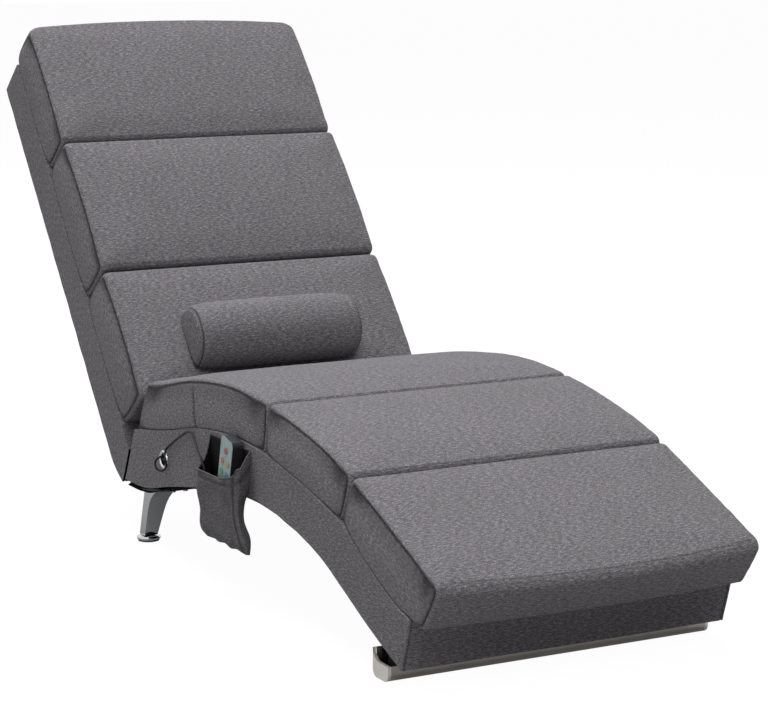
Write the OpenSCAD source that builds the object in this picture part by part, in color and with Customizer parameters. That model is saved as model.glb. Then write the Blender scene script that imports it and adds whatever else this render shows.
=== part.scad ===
// Massage chaise longue: an S-shaped upholstered seat with a high back, a chromed front channel,
// curved chromed rear legs, vibration motors under the cushions and a handset in a side pocket.
// X runs across the seat, Y from the foot end to the back, and Z is up.

/* [Overall] */
// Width of the upholstered seat and back
body_width = 550; // [500:1:620]
// Length of the seat base from its front panel to its rear face
base_length = 1021; // [960:1:1100]
// Height of the deck board at the crest of the seat
crest_height = 262; // [250:1:280]
// Slope of the back from the floor, in degrees
back_angle = 51.3; // [50:0.1:53]
// Length of the back frame above its heel
back_length = 711; // [680:1:760]
// Depth of the back frame, from its rear cloth to its deck board
back_depth = 80; // [74:1:90]
// How far the foot cushion stands out in front of the base
toe_overhang = 77; // [60:1:95]

/* [Upholstery] */
// Thickness of the seat and knee cushions
seat_cushion_t = 80; // [70:1:90]
// Thickness of the foot cushion
foot_cushion_t = 84; // [76:1:92]
// Height of the foot cushion's nose above the base's front edge
toe_rise = 62; // [54:1:70]
// Thickness of the lumbar cushion
lumbar_cushion_t = 108; // [100:1:112]
// Thickness of the middle cushion
middle_cushion_t = 104; // [96:1:110]
// Thickness of the head cushion
head_cushion_t = 94; // [86:1:104]
// Thickness of the cloth and wadding over the frame
cover_t = 2.5; // [2:0.1:4]
// Thickness of the black dust cloth under the base
dust_t = 1.5; // [1:0.1:2.5]
// Clearance round soft pieces and between stacked layers
soft_gap = 0.3; // [0.2:0.05:0.6]
// Play between the curved boards and what lies flat against them
deck_play = 1; // [0.8:0.1:1.5]

/* [Timber frame] */
// Thickness of the plywood side panels
panel_t = 15; // [12:1:20]
// Thickness of the bent deck boards
deck_t = 5; // [4:0.5:7]
// Height of the cross rails
rail_h = 34; // [28:1:40]
// Width of the cross rails
rail_w = 24; // [20:1:30]
// Gap between the base and the back, which the joining brackets bridge
joint_gap = 8; // [7.5:0.1:10]

/* [Rear legs] */
// Thickness of a leg across the seat where it meets the base
leg_top_t = 40; // [32:1:44]
// Thickness of a leg across the seat at its foot
leg_foot_t = 24; // [20:1:30]
// Length of a leg along the seat where it meets the base
leg_top_len = 84; // [72:1:90]
// Length of a leg along the seat at its foot
leg_foot_len = 23; // [18:1:28]
// How far the rear edge of a leg leans back towards its foot
leg_lean = 50; // [38:1:56]
// Wall of a leg
leg_wall = 2.5; // [2:0.1:4]
// Height of the chromed foot disc
disc_h = 9; // [7:0.5:12]
// Radius of the chromed foot disc
disc_r = 20.5; // [18:0.5:24]
// Thickness of the rubber pad under the disc
pad_t = 2; // [1.5:0.1:3]

/* [Front channel] */
// Depth of the channel along the seat
channel_depth = 46; // [42:1:54]
// Height of its front wall
channel_front_h = 24; // [21:1:28]
// Height of its rear wall
channel_rear_h = 42; // [38:1:46]
// Wall of the channel
channel_wall = 3; // [2:0.1:4]
// Distance of the channel behind the lower edge of the front panel
channel_setback = 38; // [30:1:50]

/* [Massage motors] */
// Radius of a motor can
can_r = 12; // [10:0.5:14]
// Length of a motor can
can_len = 30; // [26:1:34]
// Radius of a motor shaft
shaft_r = 1.5; // [1.2:0.1:2]
// Radial play of a shaft in its bearings
shaft_play = 0.05; // [0.03:0.01:0.08]

/* [Handset] */
// Width of the handset
handset_w = 42; // [40:1:50]
// Length of the handset
handset_len = 150; // [140:1:156]
// Thickness of the handset
handset_t = 19; // [17:0.5:20]
// Tilt of the handset in its pocket, in degrees
handset_tilt = 13; // [4:0.5:15]
// Radius of a key
key_r = 5; // [4:0.1:6]
// Travel of a key
key_travel = 1; // [0.6:0.1:1.2]
// Radial clearance round a key
key_gap = 0.25; // [0.15:0.05:0.4]
// Diameter of the handset's lead
lead_d = 3.6; // [3.2:0.1:4]

/* [Side pocket] */
// Width of the pocket along the seat
pocket_w = 193; // [180:1:200]
// Height of the pocket from its bottom seam to the seam that carries it
pocket_h = 164; // [155:1:172]
// How far the pocket stands out from the side of the base
pocket_reach = 30; // [29:0.5:36]
// Thickness of the pocket's cloth
pocket_t = 1.6; // [1.2:0.1:2]

/* [Hidden] */
overrun = 5;
$fn = 48;

cloth = "#6a686c";
cloth_dark = "#59575b";
plywood = "#c8a878";
foam_white = "#ece6cf";
chrome = "#c9ccd0";
steel = "#8f9499";
black = "#1d1d1f";

// Smooth lines through tables of shares
// Each row of a table is a share of the length and a share of the height.
function knot_slope(table, i) =
  let (low = max(i - 1, 0), high = min(i + 1, len(table) - 1))
  (table[high][1] - table[low][1]) / (table[high][0] - table[low][0]);

function span_of(table, x) =
  max([0, for (i = [0 : len(table) - 2]) if (table[i][0] <= x) i]);

function smooth(table, x) =
  let (
    i = span_of(table, x), a = table[i], b = table[i + 1], h = b[0] - a[0], u = (x - a[0]) / h,
    rise_a = knot_slope(table, i) * h, rise_b = knot_slope(table, i + 1) * h
  )
  u < 0 ? a[1] + u * rise_a :
  u > 1 ? b[1] + (u - 1) * rise_b :
  (2*u^3 - 3*u^2 + 1) * a[1] + (u^3 - 2*u^2 + u) * rise_a
    + (3*u^2 - 2*u^3) * b[1] + (u^3 - u^2) * rise_b;

function lerp(a, b, t) = a + (b - a) * t;
function reversed(list) = [for (i = [len(list) - 1 : -1 : 0]) list[i]];
function steps(count) = [for (i = [0 : count]) i / count];

// The S-shaped deck line and the arched underside, as shares of base_length and crest_height
deck_shares = [[0, 0.405], [0.06, 0.48], [0.13, 0.61], [0.215, 0.78], [0.38, 0.93],
               [0.55, 1], [0.70, 0.955], [0.83, 0.85], [0.957, 0.77], [1, 0.745]];
underside_shares = [[0.0225, 0.105], [0.13, 0.275], [0.27, 0.52], [0.40, 0.64], [0.50, 0.67],
                    [0.61, 0.64], [0.81, 0.50], [0.91, 0.415], [1, 0.405]];
deck_end_share = 0.957;
underside_start_share = 0.0225;
slope_step_share = 0.01;

function base_point(table, share) =
  [toe_overhang + share * base_length, crest_height * smooth(table, share)];
function tilt_at(table, share) =
  let (step = base_point(table, share + slope_step_share) - base_point(table, share - slope_step_share))
  atan2(step[1], step[0]);
function off_line(table, share, distance) =
  let (tilt = tilt_at(table, share))
  base_point(table, share) + distance * [-sin(tilt), cos(tilt)];
function deck_at(share, height) = off_line(deck_shares, share, height);
function underside_at(share, height) = off_line(underside_shares, share, height);
function deck_tilt(share) = tilt_at(deck_shares, share);
function underside_tilt(share) = tilt_at(underside_shares, share);
function share_of(y) = (y - toe_overhang) / base_length;

base_steps = 26;
function line_between(table, first, last, distance) =
  [for (t = steps(base_steps)) off_line(table, lerp(first, last, t), distance)];

// The front and rear faces of the base are straight lines between the deck and the underside
front_top = base_point(deck_shares, 0);
front_low = base_point(underside_shares, underside_start_share);
rear_top = base_point(deck_shares, deck_end_share);
rear_low = base_point(underside_shares, 1);
rear_run = (rear_top - rear_low) / norm(rear_top - rear_low);
rear_normal = [rear_run[1], -rear_run[0]];
function front_face_y(z) = lerp(front_low[0], front_top[0], (z - front_low[1]) / (front_top[1] - front_low[1]));
function rear_face_y(z) = lerp(rear_low[0], rear_top[0], (z - rear_low[1]) / (rear_top[1] - rear_low[1]));
rear_angle = atan2(rear_run[1], rear_run[0]);

// The back stands on its heel, and its lower end is cut along the base's rear face
heel_run = 112;
heel_rise = 195;
heel_radius = 130;
heel_start = -70;
heel_curve = 52;
back_foot = [rear_low[0] + heel_run, heel_rise];
function in_back(point) =
  let (p = point - back_foot)
  [p[0] * cos(back_angle) + p[1] * sin(back_angle), p[1] * cos(back_angle) - p[0] * sin(back_angle)];
function mate_s(depth, gap) =
  let (low = in_back(rear_low + gap * rear_normal), high = in_back(rear_top + gap * rear_normal))
  lerp(low[0], high[0], (depth - low[1]) / (high[1] - low[1]));
function heel_n(s) = heel_radius - sqrt(heel_radius^2 - (s - heel_start)^2);
heel_steps = 6;
tip_depth = 18;
function back_outline(inset, front) = concat(
  [[mate_s(front, joint_gap + inset), front], [mate_s(tip_depth + inset, joint_gap + inset), tip_depth + inset]],
  [for (t = steps(heel_steps)) let (s = heel_start - heel_curve * (1 - t)) [s + inset * (1 - t), heel_n(s) + inset]],
  [[back_length - inset, inset], [back_length - inset, front]]
);

module in_frame() { translate(frame_shift) children(); }
module across(width) { rotate([90, 0, 90]) linear_extrude(width, center = true) children(); }
module on_back() { translate([0, back_foot[0], back_foot[1]]) rotate([back_angle, 0, 0]) children(); }
module mirrored_pair() {
  children();
  mirror([1, 0, 0]) children();
}
// Places children on the deck: local Y runs along it towards the back and local Z stands on it
module on_deck(share, height) {
  at = deck_at(share, height);
  translate([0, at[0], at[1]]) rotate([deck_tilt(share), 0, 0]) children();
}
module box_on_floor(size) { translate([-size[0] / 2, -size[1] / 2, 0]) cube(size); }
// A rounded rectangle from squares and true circles
module rounded_plate(size, r, thickness) {
  linear_extrude(thickness) {
    square([size[0] - 2 * r, size[1]], center = true);
    square([size[0], size[1] - 2 * r], center = true);
    for (x = [-1, 1], y = [-1, 1])
      translate([x * (size[0] / 2 - r), y * (size[1] / 2 - r)]) circle(r);
  }
}

// Timber frame of the base
inner_w = body_width - 2 * cover_t;
rail_len = inner_w - 2 * panel_t;
rail_shares = [0.075, 0.21, 0.29, 0.44, 0.60, 0.75];
board_t = 18;
rail_drop = deck_t + 2 * deck_play + rail_h;

module side_sheets() {
  mirrored_pair() translate([(inner_w - panel_t) / 2, 0, 0]) across(panel_t) children();
}
module base_side_panels() {
  front_share = share_of(front_top[0] + cover_t + soft_gap);
  rear_share = share_of(rear_top[0] - cover_t - soft_gap);
  low_front_share = share_of(front_low[0] + cover_t + soft_gap);
  low_rear_share = share_of(rear_low[0] - cover_t - soft_gap);
  in_frame() color(plywood) difference() {
    side_sheets() polygon(concat(
      line_between(deck_shares, front_share, rear_share, -deck_t),
      reversed(line_between(underside_shares, low_front_share, low_rear_share, deck_play))
    ));
    port_bore(port_hole_r);
  }
}
module base_rails() {
  in_frame() color(plywood) {
    for (share = rail_shares)
      on_deck(share, -rail_drop) box_on_floor([rail_len, rail_w, rail_h]);
    front_board();
    rear_board();
    underside_strip(channel_strip_shares, channel_strip_t);
    difference() {
      underside_strip(leg_strip_shares, leg_strip_t);
      inlet_axis() cylinder(h = 2 * leg_strip_t, r = inlet_r + soft_gap);
    }
  }
}
board_drop = 30;
module front_board() {
  lean = atan2(front_top[1] - front_low[1], front_top[0] - front_low[0]);
  height = norm(front_top - front_low) - board_drop;
  translate([0, front_low[0], front_low[1]]) rotate([lean, 0, 0])
    translate([0, board_drop / 2, -board_t - cover_t - soft_gap])
      translate([-rail_len / 2, 0, 0]) cube([rail_len, height - board_drop / 2, board_t]);
}
module on_rear_face(gap) {
  at = rear_low + gap * rear_normal;
  translate([0, at[0], at[1]]) rotate([rear_angle, 0, 0]) mirror([0, 0, 1]) children();
}
rear_face_h = norm(rear_top - rear_low);
rear_board_low = 12;
module rear_board() {
  difference() {
    on_rear_face(-cover_t - soft_gap - board_t)
      translate([-rail_len / 2, rear_board_low, 0]) cube([rail_len, rear_face_h - 2 * rear_board_low, board_t]);
    cable_pass();
  }
}
module base_deck() {
  first_share = share_of(front_top[0] + cover_t + soft_gap);
  last_share = share_of(rear_top[0] - cover_t - soft_gap);
  in_frame() color(plywood) difference() {
    across(inner_w - 2 * soft_gap) polygon(concat(
      line_between(deck_shares, first_share, last_share, 0),
      reversed(line_between(deck_shares, first_share, last_share, -deck_t))
    ));
    for (i = seat_motors) at_motor(i) lead_drop();
  }
}
module base_cover() {
  top_z = crest_height + overrun;
  in_frame() color(cloth_dark) difference() {
    across(body_width) polygon(concat(
      line_between(deck_shares, 0, deck_end_share, 0),
      reversed(line_between(underside_shares, underside_start_share, 1, 0))
    ));
    across(inner_w) polygon([
      [front_face_y(0) + cover_t, 0], [front_face_y(top_z) + cover_t, top_z],
      [rear_face_y(top_z) - cover_t, top_z], [rear_face_y(0) - cover_t, 0]
    ]);
    port_bore(port_hole_r);
    cable_pass();
  }
}
dust_inset = 4;
module base_dust_cover() {
  first_share = share_of(front_low[0] + dust_inset);
  last_share = share_of(rear_low[0] - dust_inset);
  in_frame() color(black) difference() {
    across(body_width - 2 * dust_inset) polygon(concat(
      line_between(underside_shares, first_share, last_share, -dust_t),
      reversed(line_between(underside_shares, first_share, last_share, 0))
    ));
    inlet_axis() cylinder(h = inlet_len, r = inlet_r + soft_gap, center = true);
  }
}

// Timber frame of the back
back_rail_shares = [0.13, 0.29, 0.61, 0.77, 0.955];
module back_side_panels() {
  in_frame() color(plywood) on_back() side_sheets() polygon(back_outline(cover_t + soft_gap, back_depth - deck_t));
}
module back_rails() {
  in_frame() color(plywood) {
    on_back() for (share = back_rail_shares)
      translate([0, share * back_length, back_depth - deck_t - rail_h])
        box_on_floor([rail_len, rail_w, rail_h]);
    mate_board();
  }
}
mate_board_h = 46;
mate_board_low = 2;
module mate_board() {
  difference() {
    on_rear_face(joint_gap + cover_t + soft_gap)
      translate([-rail_len / 2, mate_board_low, 0]) cube([rail_len, mate_board_h, board_t]);
    cable_pass();
  }
}
module back_deck() {
  first = mate_s(back_depth, joint_gap + cover_t + soft_gap);
  last = back_length - cover_t - soft_gap;
  width = inner_w - 2 * soft_gap;
  in_frame() color(plywood) difference() {
    on_back() translate([-width / 2, first, back_depth - deck_t]) cube([width, last - first, deck_t]);
    for (i = back_motors) at_motor(i) lead_drop();
  }
}
module back_cover() {
  in_frame() color(cloth_dark) difference() {
    on_back() difference() {
      across(body_width) polygon(back_outline(0, back_depth));
      across(inner_w) polygon(back_outline(cover_t, back_depth + overrun));
    }
    cable_pass();
  }
}

// Cushions
// A cushion is a stack of rounded loops. Each row is the inset of a loop at the sides and at the
// ends, and its height, all as shares of the cushion's thickness.
loop_shares = [[0.05, 0.06, 0], [0.015, 0.02, 0.10], [0, 0, 0.45], [0.004, 0.008, 0.81], [0.018, 0.03, 0.93],
               [0.055, 0.085, 0.99], [0.16, 0.2, 1.025], [0.65, 0.55, 1.05], [1.35, 0.92, 1.06]];
corner_share = 0.1;
corner_limit_share = 0.9;
corner_steps = 3;
side_steps = 12;
half_width_share = 0.55;
// Points of a half loop that lie on its straight end
flat_points = 3;

function rounded_half(hw, hl, r) = concat(
  [[0, -hl], [hw * half_width_share, -hl]],
  [for (i = [0 : corner_steps]) let (a = -90 + 90 * i / corner_steps) [hw - r + r * cos(a), r - hl + r * sin(a)]],
  [for (i = [1 : side_steps - 1]) [hw, (2 * i / side_steps - 1) * (hl - r)]],
  [for (i = [0 : corner_steps]) let (a = 90 * i / corner_steps) [hw - r + r * cos(a), hl - r + r * sin(a)]],
  [[hw * half_width_share, hl], [0, hl]]
);
function rounded_loop(hw, hl, r) =
  let (half = rounded_half(hw, hl, r))
  concat(half, [for (i = [len(half) - 2 : -1 : 1]) [-half[i][0], half[i][1]]]);

// The sides of a cushion draw in towards its ends, and its ends swell between the sides
draw_share = 0.012;
end_swell = 0.6;
crown = 5;
function bulged(p, hw, hl, bulge) =
  let (swell = 1 - (p[0] / hw)^2, reach = abs(p[1] / hl)^4)
  [p[0] * (1 - draw_share * reach), p[1] + swell * reach * (p[1] < 0 ? -bulge[0] : bulge[1])];

// Faces of a stack of loops of n points, closed at both ends by strips across
function stack_faces(n, count) = concat(
  [for (k = [0 : count - 2], i = [0 : n - 1]) let (j = (i + 1) % n) each [
    [k * n + i, (k + 1) * n + i, (k + 1) * n + j], [k * n + i, (k + 1) * n + j, k * n + j]]],
  strip_faces(n, 0, true), strip_faces(n, (count - 1) * n, false)
);
function strip_faces(n, base, flip) = [
  for (f = concat(
    [for (i = [-flat_points : flat_points - 2]) [flat_points, (i + n) % n, (i + 1 + n) % n]],
    [for (i = [flat_points : n / 2 - flat_points - 1]) each [[i, i + 1, n - i], [i + 1, n - i - 1, n - i]]],
    [for (i = [1 - flat_points : flat_points - 1]) [n / 2 - flat_points, n / 2 + i, n / 2 + i + 1]]
  )) flip ? [base + f[0], base + f[1], base + f[2]] : [base + f[0], base + f[2], base + f[1]]
];

// lower and upper give the side view's bottom and top line for a share t of the length
function cushion_loops(lower, upper, thickness, length, bulge) = [for (row = loop_shares)
  let (
    hw = body_width / 2 - row[0] * thickness, hl = length / 2 - row[1] * thickness,
    r = min(corner_limit_share * hl, max(corner_share, (row[0] + corner_share) / 2) * thickness)
  )
  [for (p = rounded_loop(hw, hl, r))
    let (q = bulged(p, hw, hl, bulge), t = q[1] / length + 1 / 2, at = lerp(lower(t), upper(t), row[2]))
    [q[0], at[0], at[1]]]];
module cushion(lower, upper, thickness, length, bulge = [end_swell, end_swell]) {
  loops = cushion_loops(lower, upper, thickness, length, bulge);
  polyhedron([for (loop = loops) each loop], stack_faces(len(loops[0]), len(loops)));
}

// The foam block inside a cushion keeps the same lines, and the cushion is hollow for it
foam_margin_share = 0.2;
foam_height_share = 0.8;
foam_steps = 10;
function foam_outline(lower, upper, ends, heights) = concat(
  [for (t = steps(foam_steps)) let (u = lerp(ends[0], ends[1], t)) lerp(lower(u), upper(u), heights[0])],
  [for (t = steps(foam_steps)) let (u = lerp(ends[1], ends[0], t)) lerp(lower(u), upper(u), heights[1])]
);
module foam_block(lower, upper, thickness, length, drop, gap) {
  margin = foam_margin_share * thickness;
  ends = [(margin - gap) / length, 1 - (margin - gap) / length];
  heights = [-drop / thickness, foam_height_share + gap / thickness];
  across(body_width - 2 * margin + 2 * gap) polygon(foam_outline(lower, upper, ends, heights));
}

// Side lines of each cushion, from its front or lower end (t = 0) to its rear or upper end (t = 1)
seat_span_shares = [0.457, 0.953];
seat_top_span_shares = [0.456, 0.897];
knee_span_shares = [0.208, 0.4555];
knee_top_span_shares = [0.2065, 0.4545];
foot_rear_share = 0.2065;
foot_rear_top_share = 0.205;
nose_lean = 46;
nose_bulge = 18;
nose_droop = 7;

seat_low = function (t) deck_at(lerp(seat_span_shares[0], seat_span_shares[1], t), deck_play);
seat_high = function (t) deck_at(lerp(seat_top_span_shares[0], seat_top_span_shares[1], t), seat_cushion_t);
knee_low = function (t) deck_at(lerp(knee_span_shares[0], knee_span_shares[1], t), deck_play);
knee_high = function (t) deck_at(lerp(knee_top_span_shares[0], knee_top_span_shares[1], t), seat_cushion_t);
nose_low = [nose_lean, front_top[1] + deck_play];
foot_low = function (t)
  let (
    rear = deck_at(foot_rear_share, deck_play), y = lerp(nose_low[0], rear[0], t),
    share = max(share_of(y), 0), ahead = max(toe_overhang - y, 0) / (toe_overhang - nose_lean)
  )
  [y, base_point(deck_shares, share)[1] + deck_play / cos(deck_tilt(share)) - nose_droop * min(ahead, 1)];
foot_high = function (t)
  lerp([0, front_top[1] + toe_rise], deck_at(foot_rear_top_share, seat_cushion_t), t);

lumbar_ends = [-0.0816, 0.2771] * back_length;
middle_ends = [0.2813, 0.6653] * back_length;
head_ends = [0.6695, 1.0352] * back_length;
function back_low(ends) = function (t) [lerp(ends[0], ends[1], t), back_depth + soft_gap];
function back_high(ends, low_t, high_t) =
  function (t) [lerp(ends[0], ends[1], t), back_depth + lerp(low_t, high_t, t) + 4 * crown * (t - t^2 - 1/4)];
taper_share = 0.96;
lumbar_low = back_low(lumbar_ends);
lumbar_high = back_high(lumbar_ends, lumbar_cushion_t, lumbar_cushion_t * taper_share);
middle_low = back_low(middle_ends);
middle_high = back_high(middle_ends, middle_cushion_t, middle_cushion_t * taper_share);
head_low = back_low(head_ends);
head_high = back_high(head_ends, head_cushion_t, head_cushion_t * taper_share);

function mid_length(low, high) = norm(lerp(low(1), high(1), 1/2) - lerp(low(0), high(0), 1/2));
seat_len = mid_length(seat_low, seat_high);
knee_len = mid_length(knee_low, knee_high);
foot_len = mid_length(foot_low, foot_high);
lumbar_len = lumbar_ends[1] - lumbar_ends[0];
middle_len = middle_ends[1] - middle_ends[0];
head_len = head_ends[1] - head_ends[0];

// Where the whole stands: the origin is under the middle of its outer box
toe_loops = cushion_loops(foot_low, foot_high, foot_cushion_t, foot_len, [nose_bulge, end_swell]);
toe_y = min([for (loop = toe_loops, p = loop) p[1]]);
rear_reach = back_foot[0] + back_length * cos(back_angle);
frame_shift = [pocket_reach / 2, -(toe_y + rear_reach) / 2, 0];

module seat_foam() {
  in_frame() color(foam_white) foam_block(seat_low, seat_high, seat_cushion_t, seat_len, 0, 0);
}
module seat_cushion() {
  in_frame() color(cloth) difference() {
    cushion(seat_low, seat_high, seat_cushion_t, seat_len);
    foam_block(seat_low, seat_high, seat_cushion_t, seat_len, overrun, soft_gap);
  }
}
module knee_foam() {
  in_frame() color(foam_white) difference() {
    foam_block(knee_low, knee_high, seat_cushion_t, knee_len, 0, 0);
    at_motor(1) pod_space();
  }
}
module knee_cushion() {
  in_frame() color(cloth) difference() {
    cushion(knee_low, knee_high, seat_cushion_t, knee_len);
    foam_block(knee_low, knee_high, seat_cushion_t, knee_len, overrun, soft_gap);
  }
}
module foot_foam() {
  in_frame() color(foam_white) difference() {
    foam_block(foot_low, foot_high, foot_cushion_t, foot_len, 0, 0);
    at_motor(0) pod_space();
  }
}
module foot_cushion() {
  in_frame() color(cloth) difference() {
    cushion(foot_low, foot_high, foot_cushion_t, foot_len, [nose_bulge, end_swell]);
    foam_block(foot_low, foot_high, foot_cushion_t, foot_len, overrun, soft_gap);
  }
}
module lumbar_foam() {
  in_frame() color(foam_white) difference() {
    on_back() foam_block(lumbar_low, lumbar_high, lumbar_cushion_t, lumbar_len, 0, -heater_t - soft_gap);
    at_motor(2) pod_space();
  }
}
module lumbar_cushion() {
  in_frame() color(cloth) on_back() difference() {
    cushion(lumbar_low, lumbar_high, lumbar_cushion_t, lumbar_len);
    foam_block(lumbar_low, lumbar_high, lumbar_cushion_t, lumbar_len, overrun, soft_gap);
  }
}
module middle_foam() {
  in_frame() color(foam_white) difference() {
    on_back() foam_block(middle_low, middle_high, middle_cushion_t, middle_len, 0, 0);
    at_motor(3) pod_space();
  }
}
module middle_cushion() {
  in_frame() color(cloth) on_back() difference() {
    cushion(middle_low, middle_high, middle_cushion_t, middle_len);
    foam_block(middle_low, middle_high, middle_cushion_t, middle_len, overrun, soft_gap);
  }
}
module head_foam() {
  in_frame() color(foam_white) difference() {
    on_back() foam_block(head_low, head_high, head_cushion_t, head_len, 0, 0);
    at_motor(4) pod_space();
  }
}
head_crown = 12;
module head_cushion() {
  in_frame() color(cloth) on_back() difference() {
    cushion(head_low, head_high, head_cushion_t, head_len, [end_swell, head_crown]);
    foam_block(head_low, head_high, head_cushion_t, head_len, overrun, soft_gap);
  }
}

// The heating mat lies on the lumbar foam, inside its cushion
heater_t = 3;
heater_w = 300;
heater_shares = [0.16, 0.84];
module heater_pad() {
  heights = [foam_height_share - heater_t / lumbar_cushion_t, foam_height_share];
  in_frame() color(black) on_back()
    across(heater_w) polygon(foam_outline(lumbar_low, lumbar_high, heater_shares, heights));
}

// The loose lumbar bolster: a half round along X, flat against the lumbar cushion
bolster_len = 314;
bolster_shift = -7;
bolster_h = 123;
bolster_t = 76;
bolster_low = -30;
bolster_points = 20;
bolster_rings = 12;
bolster_back_share = 0.16;
bolster_power = 0.88;
// Size of the bolster's end faces as a share of its middle
bolster_end_share = 0.7;
// Swell of the bolster at a share of its half length
function bolster_swell(u) = (1 - abs(u)^6)^(1/3);
function bolster_ring(u, face) =
  let (k = lerp(bolster_end_share, 1, bolster_swell(u)), x = u * bolster_len / 2)
  [for (i = [0 : bolster_points - 1])
    let (a = 360 * i / bolster_points, c = cos(a), s = sin(a),
         depth = c > 0 ? bolster_t * (1 - bolster_back_share) * c : bolster_t * bolster_back_share * c)
    [bolster_shift + x, bolster_low + bolster_h / 2 + sign(s) * abs(s)^bolster_power * k * bolster_h / 2,
     face + bolster_t * bolster_back_share + k * depth]];
module lumbar_bolster() {
  face = lerp(lumbar_low(1/2), lumbar_high(1/2), last_of(loop_shares)[2])[1] + 2 * soft_gap;
  rings = [for (i = [0 : bolster_rings]) bolster_ring(sin(90 * (2 * i / bolster_rings - 1)), face)];
  in_frame() color(cloth) on_back()
    polyhedron([for (ring = rings) each ring], tube_faces(bolster_points, bolster_rings + 1));
}
function last_of(list) = list[len(list) - 1];

// Faces of a tube of rings of n points, with flat ends
function tube_faces(n, count) = concat(
  [for (k = [0 : count - 2], i = [0 : n - 1]) let (j = (i + 1) % n) each [
    [k * n + i, k * n + j, (k + 1) * n + j], [k * n + i, (k + 1) * n + j, (k + 1) * n + i]]],
  [[for (i = [n - 1 : -1 : 0]) i], [for (i = [0 : n - 1]) (count - 1) * n + i]]
);

// Brackets that join the back to the base: the seat's half is a track and the back's half slides into it
bracket_x = 0.2727 * body_width;
bracket_size = [60, 44];
bracket_low = 4;
plate_t = 2.5;
lip_w = 10;
guide_w = 6;
flange_t = 1.9;
module seat_brackets() {
  in_frame() color(steel) mirrored_pair() on_rear_face(soft_gap) translate([bracket_x, bracket_low, 0]) {
    difference() {
      translate([-bracket_size[0] / 2, 0, 0]) cube([bracket_size[0], bracket_size[1], plate_t]);
      bracket_holes() cylinder(h = 3 * plate_t, r = screw_r, center = true);
    }
    for (side = [-1, 1]) {
      translate([side * (bracket_size[0] - guide_w) / 2 - guide_w / 2, 0, plate_t])
        cube([guide_w, bracket_size[1], plate_t]);
      translate([side * (bracket_size[0] - lip_w) / 2 - lip_w / 2, 0, 2 * plate_t])
        cube([lip_w, bracket_size[1], plate_t]);
    }
  }
}
module back_brackets() {
  flange_w = bracket_size[0] - 2 * guide_w - 2 * soft_gap;
  web_w = bracket_size[0] - 2 * lip_w - 2 * soft_gap;
  flange_z = plate_t + 2 * soft_gap;
  in_frame() color(steel) mirrored_pair() on_rear_face(0) translate([bracket_x, bracket_low, 0]) difference() {
    union() {
      translate([-flange_w / 2, 0, flange_z]) cube([flange_w, bracket_size[1], flange_t]);
      translate([-web_w / 2, 0, flange_z]) cube([web_w, bracket_size[1], joint_gap - soft_gap - flange_z]);
    }
    bracket_holes() cylinder(h = 2 * joint_gap, r = head_r + soft_gap);
    back_bracket_holes() {
      cylinder(h = 2 * joint_gap, r = screw_r);
      cylinder(h = flange_z + head_h, r = head_r + soft_gap);
    }
  }
}
screw_r = 2;
head_r = 4;
head_h = 2.2;
bracket_hole_shares = [[-0.2, 0.25], [0.2, 0.25], [0, 0.75]];
module bracket_holes() {
  for (hole = bracket_hole_shares)
    translate([hole[0] * bracket_size[0], hole[1] * bracket_size[1], 0]) children();
}
back_bracket_hole_shares = [[-0.2, 0.62], [0.2, 0.62]];
module back_bracket_holes() {
  for (hole = back_bracket_hole_shares)
    translate([hole[0] * bracket_size[0], hole[1] * bracket_size[1], 0]) children();
}
bracket_screw_len = 15;
module bracket_screws() {
  in_frame() color(steel) mirrored_pair() {
    on_rear_face(soft_gap) translate([bracket_x, bracket_low, plate_t])
      bracket_holes() wood_screw(bracket_screw_len);
    on_rear_face(soft_gap) translate([bracket_x, bracket_low, plate_t + soft_gap + head_h])
      back_bracket_holes() mirror([0, 0, 1]) wood_screw(bracket_screw_len);
  }
}
// A screw whose head lies on the plane and whose shank goes down through it
module wood_screw(length) {
  difference() {
    cylinder(h = head_h, r = head_r);
    translate([0, 0, head_h]) {
      cube([head_r, head_r / 4, head_h], center = true);
      cube([head_r / 4, head_r, head_h], center = true);
    }
  }
  translate([0, 0, -length]) cylinder(h = length, r = screw_r);
}

// Rear legs: each is a tapered horn of closed box section that curves down and back to its foot
leg_share = 0.897;
leg_inset = 32;
leg_x = body_width / 2 - leg_inset;
leg_flare_power = 6;
leg_plate_size = [50, 126];
leg_plate_t = 3;
leg_steps = 16;
leg_under = soft_gap + dust_t + soft_gap;
leg_seat = underside_at(leg_share, -leg_under - leg_plate_t);
foot_top = pad_t + disc_h;
leg_rear_top = leg_seat[0] + leg_top_len / 2;
foot_y = leg_rear_top + leg_lean - leg_foot_len / 2;
// Side view of a leg: t runs from the foot to the plate
function leg_rear_y(t) = leg_rear_top + leg_lean * (1 - t);
function leg_depth(t) = leg_foot_len + (leg_top_len - leg_foot_len) * t^leg_flare_power;
function leg_outline(inset, rise) = concat(
  [for (t = steps(leg_steps)) [leg_rear_y(t) - inset, leg_z(t, rise)]],
  [for (t = reversed(steps(leg_steps))) [leg_rear_y(t) - leg_depth(t) + inset, leg_z(t, rise)]]
);
function leg_z(t, rise) = lerp(foot_top, leg_seat[1] + rise, t);
module on_underside(share, height) {
  at = underside_at(share, height);
  translate([0, at[0], at[1]]) rotate([underside_tilt(share), 0, 0]) children();
}
module at_legs() { mirrored_pair() translate([leg_x, 0, 0]) children(); }
leg_rise = 12;
module rear_legs() {
  in_frame() color(chrome) at_legs() difference() {
    leg_horn(0);
    difference() {
      leg_horn(leg_wall);
      translate([-leg_top_t, leg_seat[0] - leg_top_len, 0])
        cube([2 * leg_top_t, 3 * leg_top_len, foot_top + leg_wall]);
    }
    on_underside(leg_share, -leg_under - leg_plate_t)
      translate([-leg_top_t, -leg_top_len, 0]) cube([2 * leg_top_t, 2 * leg_top_len, leg_rise * 3]);
  }
}
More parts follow.
